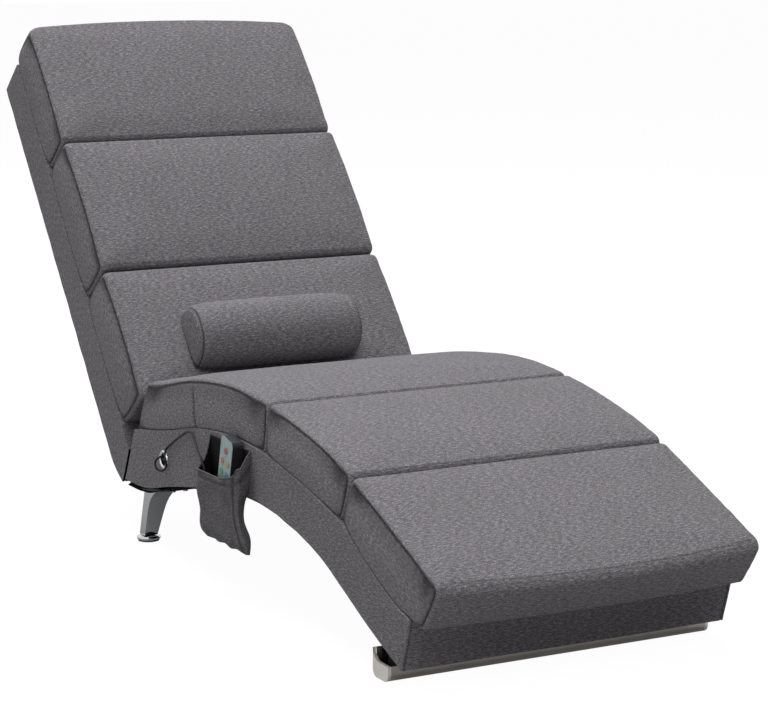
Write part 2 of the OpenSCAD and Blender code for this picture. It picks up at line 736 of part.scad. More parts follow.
module leg_horn(inset) {
  top_z = leg_z(1, leg_rise);
  foot_w = leg_foot_t / 2 - inset;
  top_w = leg_top_t / 2 - inset;
  intersection() {
    across(leg_top_t) polygon(leg_outline(inset, leg_rise));
    translate([0, leg_seat[0], 0]) rotate([90, 0, 0]) linear_extrude(4 * leg_top_len, center = true)
      polygon([[-foot_w, foot_top], [foot_w, foot_top], [top_w, top_z], [-top_w, top_z]]);
  }
}
leg_hole_shares = [[-0.22, -0.45], [0.22, -0.45], [-0.22, 0.465], [0.22, 0.465]];
module leg_holes() {
  for (hole = leg_hole_shares)
    translate([hole[0] * leg_plate_size[0], hole[1] * leg_plate_size[1], 0]) children();
}
module leg_plates() {
  in_frame() color(chrome) at_legs() on_underside(leg_share, -leg_under - leg_plate_t) difference() {
    rounded_plate(leg_plate_size, leg_plate_t * 2, leg_plate_t);
    leg_holes() cylinder(h = leg_plate_t * 3, r = screw_r + soft_gap, center = true);
  }
}
leg_screw_len = 26;
module leg_screws() {
  in_frame() color(steel) at_legs() on_underside(leg_share, -leg_under - leg_plate_t) leg_holes()
    rotate([180, 0, 0]) wood_screw(leg_screw_len);
}
disc_neck_r = 7;
disc_edge = 2;
module foot_discs() {
  in_frame() color(chrome) at_legs() translate([0, foot_y, pad_t]) rotate_extrude() polygon([
    [0, 0], [disc_r - disc_edge, 0], [disc_r, disc_edge], [disc_r, disc_h / 2],
    [disc_r - disc_edge, disc_h - disc_edge], [disc_neck_r, disc_h], [0, disc_h]
  ]);
}
module foot_pads() {
  in_frame() color(black) at_legs() translate([0, foot_y, 0]) cylinder(h = pad_t, r = disc_r - disc_edge);
}
// Timber strips on the inside of the underside, which the legs and the front channel screw into
leg_strip_shares = [0.835, 0.962];
leg_strip_t = 24;
channel_strip_shares = [0.043, 0.118];
channel_strip_t = 26;
module underside_strip(ends, thickness) {
  across(rail_len) polygon(concat(
    line_between(underside_shares, ends[0], ends[1], thickness),
    reversed(line_between(underside_shares, ends[0], ends[1], deck_play))
  ));
}

// Front channel: an open-topped chromed trough with rounded lower edges, closed by end plates
channel_r = 12;
end_t = 5;
channel_front = front_low[0] + channel_setback;
module trough_outline() {
  translate([channel_r, 0]) square([channel_depth - 2 * channel_r, channel_r]);
  translate([0, channel_r]) square([channel_depth, channel_front_h - channel_r]);
  for (y = [channel_r, channel_depth - channel_r]) translate([y, channel_r]) circle(channel_r);
}
module at_channel() { translate([0, channel_front, 0]) children(); }
module front_channel() {
  length = body_width - 2 * end_t;
  inner_r = channel_r - channel_wall;
  in_frame() color(chrome) at_channel() difference() {
    across(length) difference() {
      union() {
        trough_outline();
        translate([channel_depth - channel_wall, channel_r]) square([channel_wall, channel_rear_h - channel_r]);
      }
      translate([channel_wall, channel_r]) square([channel_depth - 2 * channel_wall, channel_rear_h]);
      translate([channel_r, channel_wall]) square([channel_depth - 2 * channel_r, channel_rear_h]);
      for (y = [channel_r, channel_depth - channel_r]) translate([y, channel_r]) circle(inner_r);
    }
    at_channel_blocks() cylinder(h = 3 * channel_wall, r = head_r + soft_gap, center = true);
  }
}
module channel_ends() {
  step = channel_rear_h - channel_front_h;
  in_frame() color(chrome) at_channel() mirrored_pair() translate([(body_width - end_t) / 2, 0, 0]) across(end_t) {
    trough_outline();
    translate([channel_depth - step, channel_front_h]) difference() {
      square(step);
      translate([0, step]) circle(step);
    }
  }
}
block_shares = [-0.87, 0, 0.87];
block_w = 34;
block_depth = 21;
module at_channel_blocks() {
  for (share = block_shares) translate([share * body_width / 2, channel_depth / 2, 0]) children();
}
module channel_blocks() {
  centre = channel_front + channel_depth / 2;
  front_share = share_of(centre - block_depth / 2);
  rear_share = share_of(centre + block_depth / 2);
  in_frame() color(black) difference() {
    for (share = block_shares) translate([share * body_width / 2, 0, 0]) across(block_w) polygon(concat(
      [for (t = steps(4)) off_line(underside_shares, lerp(front_share, rear_share, t), -leg_under - soft_gap)],
      [[centre + block_depth / 2, channel_wall], [centre - block_depth / 2, channel_wall]]
    ));
    at_channel() at_channel_blocks() cylinder(h = channel_screw_len, r = screw_r + soft_gap);
  }
}
channel_screw_len = 62;
module channel_screws() {
  in_frame() color(steel) at_channel() at_channel_blocks() {
    translate([0, 0, channel_wall - head_h]) cylinder(h = head_h, r = head_r);
    translate([0, 0, channel_wall]) cylinder(h = channel_screw_len - channel_wall, r = screw_r);
  }
}

// Massage motors: two under the seat's cushions and three behind the back's
seat_motor_shares = [0.12, 0.365];
back_motor_shares = [0.095, 0.47, 0.83];
seat_motors = [0, 1];
back_motors = [2, 3, 4];
pod_size = [70, 44];
pod_h = 31;
pod_wall = 2;
pod_inner = [pod_size[0] - 2 * pod_wall, pod_size[1] - 2 * pod_wall];
pod_flange = [92, 60];
pod_split_h = 15;
can_rise = 16;
saddle_t = 3;
saddle_reach = 9;
pod_corner_r = 6;
pod_screw = [40, 24];
rotor_len = 56;
weight_t = 8;
weight_r = 10;
weight_gap = 3;
module at_motor(i) {
  if (i < len(seat_motor_shares)) on_deck(seat_motor_shares[i], deck_play) children();
  else on_back() translate([0, back_motor_shares[i - len(seat_motor_shares)] * back_length, back_depth + deck_play])
    children();
}
module at_motors() { for (i = concat(seat_motors, back_motors)) at_motor(i) children(); }
pod_play = 1;
module pod_space() {
  translate([0, 0, -overrun])
    box_on_floor([pod_flange[0] + 2 * pod_play, pod_flange[1] + 2 * pod_play, pod_h + overrun + pod_play]);
}
module along_x(length, r) { rotate([0, 90, 0]) cylinder(h = length, r = r, center = true); }
module motor_trays() {
  in_frame() color(black) at_motors() difference() {
    union() {
      rounded_plate(pod_flange, pod_corner_r, pod_wall);
      difference() {
        rounded_plate(pod_size, pod_corner_r, pod_split_h);
        translate([0, 0, pod_wall])
          rounded_plate(pod_inner, pod_corner_r - pod_wall, pod_split_h);
      }
      for (x = [-saddle_reach, saddle_reach])
        translate([x, 0, pod_wall]) box_on_floor([saddle_t, pod_size[1] - 2 * pod_wall, can_rise / 2]);
    }
    translate([0, 0, can_rise]) along_x(can_len + pod_size[0] / 4, can_r);
    for (x = [-1, 1], y = [-1, 1]) translate([x * pod_screw[0], y * pod_screw[1], 0])
      cylinder(h = 3 * pod_wall, r = screw_r, center = true);
    lead_drop();
  }
}
module motor_lids() {
  in_frame() color("#2b2b2e") at_motors() translate([0, 0, pod_split_h]) difference() {
    rounded_plate(pod_size, pod_corner_r, pod_h - pod_split_h);
    translate([0, 0, -pod_wall])
      rounded_plate(pod_inner, pod_corner_r - pod_wall, pod_h - pod_split_h);
  }
}
module motor_cans() {
  in_frame() color(steel) at_motors() translate([0, 0, can_rise]) difference() {
    union() {
      along_x(can_len, can_r);
      along_x(can_len + weight_gap, can_r / 3);
    }
    along_x(2 * can_len, shaft_r + shaft_play);
  }
}
// The shaft and the off-centre weights that shake the cushion
module rotor(i) {
  in_frame() color("#b08d57") at_motor(i) translate([0, 0, can_rise]) {
    along_x(rotor_len, shaft_r);
    for (side = [-1, 1]) translate([side * (can_len / 2 + weight_gap + weight_t / 2), 0, 0]) intersection() {
      along_x(weight_t, weight_r);
      translate([0, 0, weight_r / 2 - shaft_r]) cube([2 * weight_t, 2 * weight_r, weight_r + shaft_r], center = true);
    }
  }
}
module calf_rotor() { rotor(0); }
module thigh_rotor() { rotor(1); }
module lumbar_rotor() { rotor(2); }
module middle_rotor() { rotor(3); }
module neck_rotor() { rotor(4); }

// Control box inside the base, on its left panel between two rails
control_share = 0.675;
control_size = [26, 100, 56];
control_wall = 2;
control_split = 15;
control_drop = 74;
board_plate_t = 1.6;
module at_control() {
  at = deck_at(control_share, -control_drop);
  translate([-rail_len / 2, at[0], at[1]]) children();
}
module control_half(from, to) {
  translate([from, -control_size[1] / 2, 0]) cube([to - from, control_size[1], control_size[2]]);
}
module control_tray() {
  in_frame() color(black) at_control() difference() {
    control_half(0, control_split);
    translate([control_wall, 0, 0]) control_hollow(control_split);
  }
}
module control_lid() {
  in_frame() color("#2b2b2e") at_control() difference() {
    control_half(control_split, control_size[0]);
    translate([control_split - control_wall, 0, 0]) control_hollow(control_size[0] - control_split);
  }
}
module control_hollow(depth) {
  translate([0, control_wall - control_size[1] / 2, control_wall])
    cube([depth, control_size[1] - 2 * control_wall, control_size[2] - 2 * control_wall]);
}
module control_board() {
  inset = control_wall + soft_gap;
  in_frame() color("#2f6b45") at_control() {
    translate([control_wall + overrun, inset - control_size[1] / 2, inset])
      cube([board_plate_t, control_size[1] - 2 * inset, control_size[2] - 2 * inset]);
    for (y = [-1, 1]) translate([control_wall, y * control_size[1] / 3, control_size[2] / 2])
      rotate([0, 90, 0]) cylinder(h = overrun, r = overrun / 2);
  }
}

// Inlet for the supply's plug, in the timber strip over the rear legs
inlet_x = -0.218 * body_width;
inlet_r = 7;
inlet_flange_r = 10;
inlet_flange_t = 2;
inlet_len = 22;
inlet_bore_r = 2.75;
inlet_bore_len = 9.5;
module inlet_axis() { translate([inlet_x, 0, 0]) on_underside(leg_share, -leg_under) children(); }
module power_inlet() {
  in_frame() color(black) inlet_axis() difference() {
    union() {
      translate([0, 0, -inlet_flange_t]) cylinder(h = inlet_flange_t, r = inlet_flange_r);
      cylinder(h = inlet_len, r = inlet_r);
    }
    translate([0, 0, -inlet_flange_t - overrun]) cylinder(h = inlet_bore_len + overrun, r = inlet_bore_r);
  }
}

// Wiring: a trunk under the rails, with a drop to each motor, and a branch to the control box
wire_r = 3;
wire_x = 29;
drop_y = -15;
drop_r = 1.5;
wire_depth = rail_drop + wire_r + 2 * soft_gap;
wire_sides = 8;
trunk_steps = 12;
module lead_drop() { translate([wire_x, drop_y, 0]) cylinder(h = 4 * deck_t, r = drop_r + soft_gap, center = true); }
pass_share = 0.42;
module cable_pass() {
  on_rear_face(0) translate([wire_x, pass_share * rear_face_h, 0])
    cylinder(h = 4 * board_t, r = 2 * wire_r, center = true);
}
pass_at = lerp(rear_low, rear_top, pass_share);
back_wire_n = back_depth - wire_depth;
function from_back(p) = back_foot + [p[0] * cos(back_angle) - p[1] * sin(back_angle),
                                     p[0] * sin(back_angle) + p[1] * cos(back_angle)];
function wire_point(p) = [wire_x, p[0], p[1]];
wire_run = board_t * 1.5;
module motor_wiring() {
  first = seat_motor_shares[0] + share_of(drop_y + toe_overhang);
  last = control_share;
  seat_line = [for (t = steps(trunk_steps)) wire_point(deck_at(lerp(first, last, t), -wire_depth))];
  joint_line = [for (gap = [-1, 1, 2]) wire_point(pass_at + gap * wire_run * rear_normal)];
  back_line = [for (share = back_motor_shares) wire_point(from_back([share * back_length + drop_y, back_wire_n]))];
  branch = deck_at(control_share, -wire_depth);
  box_at = deck_at(control_share, -control_drop);
  box_rear = box_at[0] + control_size[1] / 2;
  box_z = box_at[1];
  inlet_end = underside_at(leg_share, inlet_len - leg_under + soft_gap);
  inlet_turn = underside_at(leg_share, inlet_len + wire_r);
  bush_end = bush_len - port_ring_t / 2 + soft_gap - body_width / 2;
  in_frame() color(black) {
    tube(concat(seat_line, joint_line, back_line), wire_r, wire_sides);
    at_motors() translate([wire_x, drop_y, -wire_depth]) cylinder(h = wire_depth, r = drop_r);
    tube([[control_size[0] - rail_len / 2, branch[0], branch[1]], [wire_x, branch[0], branch[1]]],
         wire_r, wire_sides);
    tube([[inlet_x, inlet_end[0], inlet_end[1]], [inlet_x, inlet_turn[0], inlet_turn[1]],
          [inlet_x, inlet_turn[0] - wire_run, inlet_turn[1] + wire_run / 2],
          [-2 * wire_run - wire_run * 4, box_rear + wire_run, box_z + control_size[2] / 3],
          [-rail_len / 2 + control_size[0] / 2, box_rear + wire_run / 2, box_z + control_size[2] / 4],
          [-rail_len / 2 + control_size[0] / 2, box_rear, box_z + control_size[2] / 4]], drop_r, wire_sides);
    tube([[bush_end, port_y, port_z], [bush_end + wire_r, port_y, port_z],
          [bush_end + 2 * wire_r, port_y - wire_run / 4, port_z],
          [-rail_len / 2 + control_size[0] / 3, port_y - wire_run, port_z + wire_r],
          [-rail_len / 2 + control_size[0] / 3, box_rear, box_z + control_size[2] / 8]], drop_r, wire_sides);
  }
}

// A tube swept along points: each ring stands square to the bend at its point
function unit(v) = v / norm(v);
function tangent_at(points, i) = unit(points[min(i + 1, len(points) - 1)] - points[max(i - 1, 0)]);
function carried(normals, tangents, i) =
  i == len(tangents) ? normals :
  let (n = last_of(normals), t = tangents[i])
  carried(concat(normals, [unit(n - (n * t) * t)]), tangents, i + 1);
function start_normal(t) = unit(cross(t, abs(t[2]) < 0.9 ? [0, 0, 1] : [1, 0, 0]));
module tube(points, r, sides) {
  tangents = [for (i = [0 : len(points) - 1]) tangent_at(points, i)];
  normals = carried([start_normal(tangents[0])], tangents, 1);
  rings = [for (i = [0 : len(points) - 1])
    let (n = normals[i], b = cross(n, tangents[i]))
    each [for (k = [0 : sides - 1]) let (a = 360 * k / sides) points[i] + r * (cos(a) * n + sin(a) * b)]];
  polyhedron(rings, tube_faces(sides, len(points)));
}

// Port for the handset's lead: a chromed ring round a black bush with a crossbar
port_share = 0.8306;
port_height_share = 0.664;
port_y = toe_overhang + port_share * base_length;
port_z = crest_height * port_height_share;
port_hole_r = 12;
port_ring_r = 13.6;
port_ring_t = 2.9;
port_play = 0.1;
bush_len = 22;
bush_recess = 5;
bush_rim = 1.5;
bar_w = 3;
lead_hole_len = 4;
module port_axis() { translate([-body_width / 2, port_y, port_z]) rotate([0, 90, 0]) children(); }
module port_bore(r) { port_axis() translate([0, 0, -overrun]) cylinder(h = panel_t + cover_t + 2 * overrun, r = r); }
module port_ring() {
  in_frame() color(chrome) port_axis() rotate_extrude() translate([port_ring_r, 0]) intersection() {
    circle(port_ring_t);
    translate([-port_ring_t, -port_ring_t]) square([2 * port_ring_t, port_ring_t]);
  }
}
module port_insert() {
  r = port_ring_r - port_ring_t - port_play;
  in_frame() color(black) port_axis() difference() {
    union() {
      difference() {
        translate([0, 0, -port_ring_t / 2]) cylinder(h = bush_len, r = r);
        translate([0, 0, -overrun]) cylinder(h = overrun + bush_recess, r = r - bush_rim);
      }
      translate([-bar_w / 2, -r + bush_rim / 2, 0]) cube([bar_w, 2 * r - bush_rim, bush_recess + bush_rim]);
    }
    translate([-lead_rise, 0, bush_recess]) cylinder(h = lead_hole_len, r = lead_d / 2 + port_play);
  }
}
lead_rise = 5;
lead_play = 0.5;

// The handset's lead leaves the bush, makes one loop, and hangs over into the pocket
lead_sides = 8;
lead_rings = 78;
// Each row is how far out from the side of the seat, then offsets along and up from the middle of the port
lead_loop_points = [[-8.5, 0, 5], [-2, 0, 5], [4, -3, 6], [10, -7, 7], [16, -6, 3], [19, -6, -4], [18, -9, -11],
                    [13, -15, -15], [8, -20, -12], [6, -23, -4], [7, -22, 4], [7, -19, 11], [5, -18, 19]];
// Here the second number is a share of the way from the port to the pocket's rear edge
lead_arch_points = [[3, 0.12, 26], [3, 0.19, 34], [3, 0.3, 45], [3, 0.4, 55], [3, 0.49, 63], [3, 0.56, 67],
                    [3, 0.63, 67], [5, 0.70, 60], [8, 0.77, 53], [12, 0.85, 47], [16, 0.92, 44], [18, 0.98, 41]];
// Here the offsets are from the middle of the pocket's bottom seam
lead_drop_points = [[18, 91, 111], [18, 82, 92], [17, 79, 70], [16, 77, 46], [15, 73, 26], [14, 64, 13],
                    [13, 50, 7], [13, 38, 6]];
function lead_route() = concat(
  [for (p = lead_loop_points) [-body_width / 2 - p[0], port_y + p[1], port_z + p[2]]],
  [for (p = lead_arch_points) [-body_width / 2 - p[0], lerp(port_y, pocket_rear, p[1]), port_z + p[2]]],
  [for (p = lead_drop_points) [-body_width / 2 - p[0], pocket_top[0] + p[1], pocket_bottom + p[2]]],
  [lead_turn, lead_end]
);
function curve_at(points, t) =
  let (
    span = len(points) - 1, i = min(floor(t * span), span - 1), u = t * span - i,
    a = points[max(i - 1, 0)], b = points[i], c = points[i + 1], d = points[min(i + 2, span)]
  )
  b + u / 2 * ((c - a) + u * ((2 * a - 5 * b + 4 * c - d) + u * (3 * b - a - 3 * c + d)));
module handset_lead() {
  route = [for (t = steps(lead_rings)) curve_at(lead_route(), t)];
  gaps = [for (i = [0 : len(route) - 1], j = [i + 6 : 1 : len(route) - 1]) norm(route[i] - route[j]) - lead_d];
  echo(least_gap_of_lead = min(gaps), length_of_lead = path_length(route));
  in_frame() color(black) tube(route, lead_d / 2, lead_sides);
}
function path_length(points, i = 1) =
  i == len(points) ? 0 : norm(points[i] - points[i - 1]) + path_length(points, i + 1);

// Side pocket: a cloth bag, sewn under the seat cushion, that hangs past the edge of the base
pocket_share = 0.545;
pocket_seam_drop = 5;
pocket_top = base_point(deck_shares, pocket_share) - [0, pocket_seam_drop];
pocket_bottom = pocket_top[1] - pocket_h;
pocket_rear = pocket_top[0] + pocket_w / 2;
// Plan of the pocket: shares of its depth and of its run from front to back, then how far its rim rises
pocket_plan_shares = [
  [0, 0, 1], [0.35, 0, 0.8], [0.75, 0, 0.55], [0.95, 0.03, 0.4], [1, 0.12, 0.12], [0.99, 0.3, 0],
  [0.96, 0.5, 0], [0.99, 0.7, 0], [1, 0.88, 0], [0.95, 0.96, 0.02], [0.7, 0.99, 0.05], [0.3, 1, 0.35], [0, 1, 1]
];
// Each row is the height at the front and at the back, the shares of the width where the inner and the
// outer panel start and where both end, and the shares of the reach of the inner and the outer panel
pocket_row_shares = [
  [0, 0, -0.32, -0.41, 0.44, 0.30, 0.62], [0.06, 0.06, -0.28, -0.47, 0.48, 0.12, 0.85],
  [0.13, 0.13, -0.23, -0.45, 0.49, 0.01, 0.94], [0.26, 0.26, -0.12, -0.37, 0.48, 0, 0.96],
  [0.40, 0.42, -0.13, -0.33, 0.51, 0, 0.95], [0.53, 0.62, -0.22, -0.32, 0.52, 0, 0.97],
  [0.655, 0.97, -0.25, -0.33, 0.52, 0, 1]
];
function pocket_loop(row, inset) = [for (p = pocket_plan_shares)
  let (
    out = lerp(row[5] * pocket_reach + soft_gap + inset, row[6] * pocket_reach - inset, p[0]),
    front = lerp(row[2], row[3], p[0]) * pocket_w + inset, rear = row[4] * pocket_w - inset,
    height = max(lerp(row[0], row[1], p[2]) * pocket_h, inset)
  )
  [-body_width / 2 - out, pocket_top[0] + lerp(front, rear, p[1]), pocket_bottom + height]];
module side_pocket() {
  loops = concat(
    [for (row = pocket_row_shares) pocket_loop(row, 0)],
    [for (row = reversed(pocket_row_shares)) if (row[0] != pocket_row_shares[1][0]) pocket_loop(row, pocket_t)]
  );
  n = len(pocket_plan_shares);
  in_frame() color(cloth_dark) polyhedron([for (loop = loops) each loop], tube_faces(n, len(loops)));
}

// Handset: two shells round a board, with five sprung keys on its outer face
handset_shift = 25;
handset_rise = 27;
handset_y = pocket_top[0] + handset_shift;
handset_z = pocket_bottom + handset_rise;
handset_play = 0.6;
handset_r = 9;
handset_wall = 2;
handset_back_x = -body_width / 2 - soft_gap - pocket_t - handset_play;
relief_r = 3.5;
relief_len = 9;
key_stand = 1.2;
key_flange_t = 1;
key_rim = 1;
key_flange_r = key_r + key_rim;
key_place_shares = [[0, 0.86], [-0.22, 0.73], [0.22, 0.73], [-0.22, 0.61], [0.22, 0.61]];
handset_foot = [handset_back_x - handset_t / 2, handset_y, handset_z];
handset_down = [0, sin(handset_tilt), -cos(handset_tilt)];
lead_end = handset_foot + (relief_len + lead_play) * handset_down;
lead_turn = handset_foot + 2 * relief_len * handset_down;
module in_handset() {
  translate([handset_back_x - handset_t, handset_y, handset_z]) rotate([handset_tilt, 0, 0]) children();
}
// A slab that lies between two distances from the handset's outer face
module handset_slab(from, to, inset) {
  size = [handset_w, handset_len] - [2, 2] * inset;
  translate([from, 0, handset_len / 2]) rotate([90, 0, 90]) rounded_plate(size, handset_r - inset, to - from);
}
module handset_back() {
  in_frame() color(black) in_handset() {
    difference() {
      handset_slab(handset_t / 2, handset_t, 0);
      handset_slab(handset_t / 2 - handset_wall, handset_t - handset_wall, handset_wall);
    }
    translate([handset_t / 2, 0, -relief_len]) cylinder(h = relief_len, r = relief_r);
  }
}
module handset_front() {
  in_frame() color("#b9cfcf") in_handset() difference() {
    handset_slab(0, handset_t / 2, 0);
    handset_slab(handset_wall, handset_t / 2 + handset_wall, handset_wall);
    for (i = [0 : len(key_place_shares) - 1]) at_key(i) cylinder(h = 3 * handset_wall, r = key_r + key_gap, center = true);
  }
}
module at_key(i) {
  place = key_place_shares[i];
  translate([0, place[0] * handset_w, place[1] * handset_len]) rotate([0, 90, 0]) children();
}
board_front = handset_wall + key_flange_t + key_travel + 2 * key_gap;
module handset_board() {
  in_frame() color("#2f6b45") in_handset()
    handset_slab(board_front, board_front + board_plate_t, handset_wall + soft_gap);
}
module key(i, tint) {
  in_frame() color(tint) in_handset() at_key(i) {
    translate([0, 0, -key_stand]) cylinder(h = key_stand + handset_wall + key_flange_t, r = key_r);
    translate([0, 0, handset_wall + key_gap / 2]) cylinder(h = key_flange_t, r = key_flange_r);
  }
}
module power_key() { key(0, "#c8524a"); }
module mode_key() { key(1, "#e0a040"); }
module heat_key() { key(2, "#d8765a"); }
module level_key() { key(3, "#5c9fc0"); }
module timer_key() { key(4, "#6fae7a"); }

base_side_panels();
base_rails();
base_deck();
base_cover();
base_dust_cover();
seat_foam();
seat_cushion();
knee_foam();
knee_cushion();
foot_foam();
foot_cushion();
back_side_panels();
back_rails();
back_deck();
back_cover();
lumbar_foam();
lumbar_cushion();
middle_foam();
middle_cushion();
head_foam();
head_cushion();
heater_pad();
lumbar_bolster();
seat_brackets();
back_brackets();
bracket_screws();
rear_legs();
leg_plates();
leg_screws();
foot_discs();
foot_pads();
front_channel();
channel_ends();
channel_blocks();
channel_screws();
motor_trays();
motor_lids();
motor_cans();
calf_rotor();
thigh_rotor();
lumbar_rotor();
middle_rotor();
neck_rotor();
control_tray();
control_lid();
control_board();
power_inlet();
motor_wiring();
port_ring();
port_insert();
handset_lead();
side_pocket();
handset_back();
handset_front();
handset_board();
power_key();
mode_key();
heat_key();
level_key();
timer_key();
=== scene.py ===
import math
import bmesh
import bpy
import numpy as np
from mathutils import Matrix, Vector, kdtree, noise


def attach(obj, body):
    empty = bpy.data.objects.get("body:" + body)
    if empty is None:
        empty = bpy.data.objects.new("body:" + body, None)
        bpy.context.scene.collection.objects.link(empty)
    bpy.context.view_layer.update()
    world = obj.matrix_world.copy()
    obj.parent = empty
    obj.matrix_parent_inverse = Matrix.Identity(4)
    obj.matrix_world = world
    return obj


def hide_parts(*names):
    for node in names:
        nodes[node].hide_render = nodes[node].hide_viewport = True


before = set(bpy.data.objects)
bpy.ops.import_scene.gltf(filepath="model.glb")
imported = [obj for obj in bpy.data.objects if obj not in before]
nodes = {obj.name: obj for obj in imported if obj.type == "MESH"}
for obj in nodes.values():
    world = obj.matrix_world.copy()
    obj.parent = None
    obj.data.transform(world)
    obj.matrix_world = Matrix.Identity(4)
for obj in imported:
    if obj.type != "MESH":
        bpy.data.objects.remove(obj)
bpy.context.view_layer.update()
scene = bpy.context.scene

# Massage chaise longue. All lengths below are in millimetres in the drawing's own frame,
# with Y from the foot end, and place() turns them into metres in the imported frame.
body = {"width": 550, "baseLength": 1021, "crest": 262, "toeOverhang": 77, "coverThickness": 2.5,
        "backAngle": 51.3, "backLength": 711, "backDepth": 80, "heelRun": 112, "heelRise": 195,
        "heelRadius": 130, "heelStart": -70, "heelCurve": 52, "tipDepth": 18, "jointGap": 8,
        "deckPlay": 1, "softGap": 0.3, "shift": (15, -821.565, 0)}
halfWidth = body["width"] / 2
deckShares = [(0, 0.405), (0.06, 0.48), (0.13, 0.61), (0.215, 0.78), (0.38, 0.93),
              (0.55, 1), (0.70, 0.955), (0.83, 0.85), (0.957, 0.77), (1, 0.745)]
undersideShares = [(0.0225, 0.105), (0.13, 0.275), (0.27, 0.52), (0.40, 0.64), (0.50, 0.67),
                   (0.61, 0.64), (0.81, 0.50), (0.91, 0.415), (1, 0.405)]
deckEnd, undersideStart = 0.957, 0.0225


def place(p):
    return tuple((c + s) / 1000 for c, s in zip(p, body["shift"]))


def lerp(a, b, t):
    return np.asarray(a, float) + (np.asarray(b, float) - np.asarray(a, float)) * t


def smooth(table, x):  # smooth line through a table of shares
    i = max([0] + [k for k in range(len(table) - 1) if table[k][0] <= x])

    def slope(k):
        low, high = table[max(k - 1, 0)], table[min(k + 1, len(table) - 1)]
        return (high[1] - low[1]) / (high[0] - low[0])
    a, b = table[i], table[i + 1]
    h = b[0] - a[0]
    u = (x - a[0]) / h
    riseA, riseB = slope(i) * h, slope(i + 1) * h
    if u < 0:
        return a[1] + u * riseA
    if u > 1:
        return b[1] + (u - 1) * riseB
    return ((2 * u**3 - 3 * u**2 + 1) * a[1] + (u**3 - 2 * u**2 + u) * riseA
            + (3 * u**2 - 2 * u**3) * b[1] + (u**3 - u**2) * riseB)


def basePoint(table, share):
    return np.array([body["toeOverhang"] + share * body["baseLength"], body["crest"] * smooth(table, share)])


def offLine(table, share, distance):
    step = basePoint(table, share + 0.01) - basePoint(table, share - 0.01)
    tilt = math.atan2(step[1], step[0])
    return basePoint(table, share) + distance * np.array([-math.sin(tilt), math.cos(tilt)])


def deckAt(share, height):
    return offLine(deckShares, share, height)


def shareOf(y):
    return (y - body["toeOverhang"]) / body["baseLength"]


frontTop, frontLow = basePoint(deckShares, 0), basePoint(undersideShares, undersideStart)
rearTop, rearLow = basePoint(deckShares, deckEnd), basePoint(undersideShares, 1)
rearRun = (rearTop - rearLow) / np.linalg.norm(rearTop - rearLow)
rearNormal = np.array([rearRun[1], -rearRun[0]])
backFoot = np.array([rearLow[0] + body["heelRun"], body["heelRise"]])
backCos, backSin = math.cos(math.radians(body["backAngle"])), math.sin(math.radians(body["backAngle"]))


def fromBack(p):  # along the back and out from it, to the side view
    return backFoot + np.array([p[0] * backCos - p[1] * backSin, p[0] * backSin + p[1] * backCos])


def inBack(p):
    q = np.asarray(p) - backFoot
    return np.array([q[0] * backCos + q[1] * backSin, q[1] * backCos - q[0] * backSin])


def mateS(depth, gap):
    low, high = inBack(rearLow + gap * rearNormal), inBack(rearTop + gap * rearNormal)
    return low[0] + (high[0] - low[0]) * (depth - low[1]) / (high[1] - low[1])


def asIs(p):
    return np.asarray(p)


def curveThrough(points, parts):  # a smooth line through points, with so many steps between two of them
    pts = [np.asarray(p, float) for p in points]
    out = []
    for i in range(len(pts) - 1):
        a, b, c, d = (pts[min(max(k, 0), len(pts) - 1)] for k in (i - 1, i, i + 1, i + 2))
        for j in range(parts):
            u = j / parts
            out.append(b + u / 2 * ((c - a) + u * ((2 * a - 5 * b + 4 * c - d) + u * (3 * b - a - 3 * c + d))))
    return out + [pts[-1]]


def addObject(name, data):
    obj = bpy.data.objects.new(name, data)
    scene.collection.objects.link(obj)
    return obj


# Camera
view = {"lens": 116.5, "sensor": 36, "clipEnd": 60, "place": (-1.8666, -3.65107, 1.0498), "tilt": 80.326,
        "turn": -28.333}
camera = addObject("camera", bpy.data.cameras.new("camera"))
camera.data.lens = view["lens"]
camera.data.sensor_width = view["sensor"]
camera.data.clip_end = view["clipEnd"]
camera.location = view["place"]
camera.rotation_euler = (math.radians(view["tilt"]), 0, math.radians(view["turn"]))
scene.camera = camera

# Materials
print("stage: materials")


def tint(hexColour):  # sRGB hex to a linear colour
    parts = [int(hexColour[i:i + 2], 16) / 255 for i in (1, 3, 5)]
    return tuple(c / 12.92 if c <= 0.04045 else ((c + 0.055) / 1.055)**2.4 for c in parts) + (1,)


def setInputs(tree, node, inputs):  # an input takes a value, a socket, or a node, which stands for its first output
    for key, value in inputs.items():
        source = value.outputs[0] if isinstance(value, bpy.types.Node) else value
        if isinstance(source, bpy.types.NodeSocket):
            tree.links.new(source, node.inputs[key])
        else:
            node.inputs[key].default_value = source


def addNode(tree, kind, settings=None, inputs=None):  # the stops of a colour ramp are a setting too
    node = tree.nodes.new(kind)
    for key, value in (settings or {}).items():
        if key != "stops":
            setattr(node, key, value)
            continue
        while len(node.color_ramp.elements) < len(value):
            node.color_ramp.elements.new(0.5)
        for element, (at, colour) in zip(node.color_ramp.elements, value):
            element.position = at
            element.color = colour if isinstance(colour, tuple) else (colour, colour, colour, 1)
    setInputs(tree, node, inputs or {})
    return node


def newMaterial(name):
    material = bpy.data.materials.new(name)
    material.use_nodes = True
    tree = material.node_tree
    return material, tree, tree.nodes["Principled BSDF"]


# A grain is noise stretched to a real size: in metres, or one for each axis
def grainOf(tree, where, size, detail=2.0, rough=0.55):
    sizes = size if isinstance(size, tuple) else (size,) * 3
    stretched = addNode(tree, "ShaderNodeVectorMath", {"operation": "MULTIPLY"},
                        {0: where, 1: tuple(1 / s for s in sizes)})
    return addNode(tree, "ShaderNodeTexNoise", inputs={"Vector": stretched, "Scale": 1.0, "Detail": detail,
                                                       "Roughness": rough})


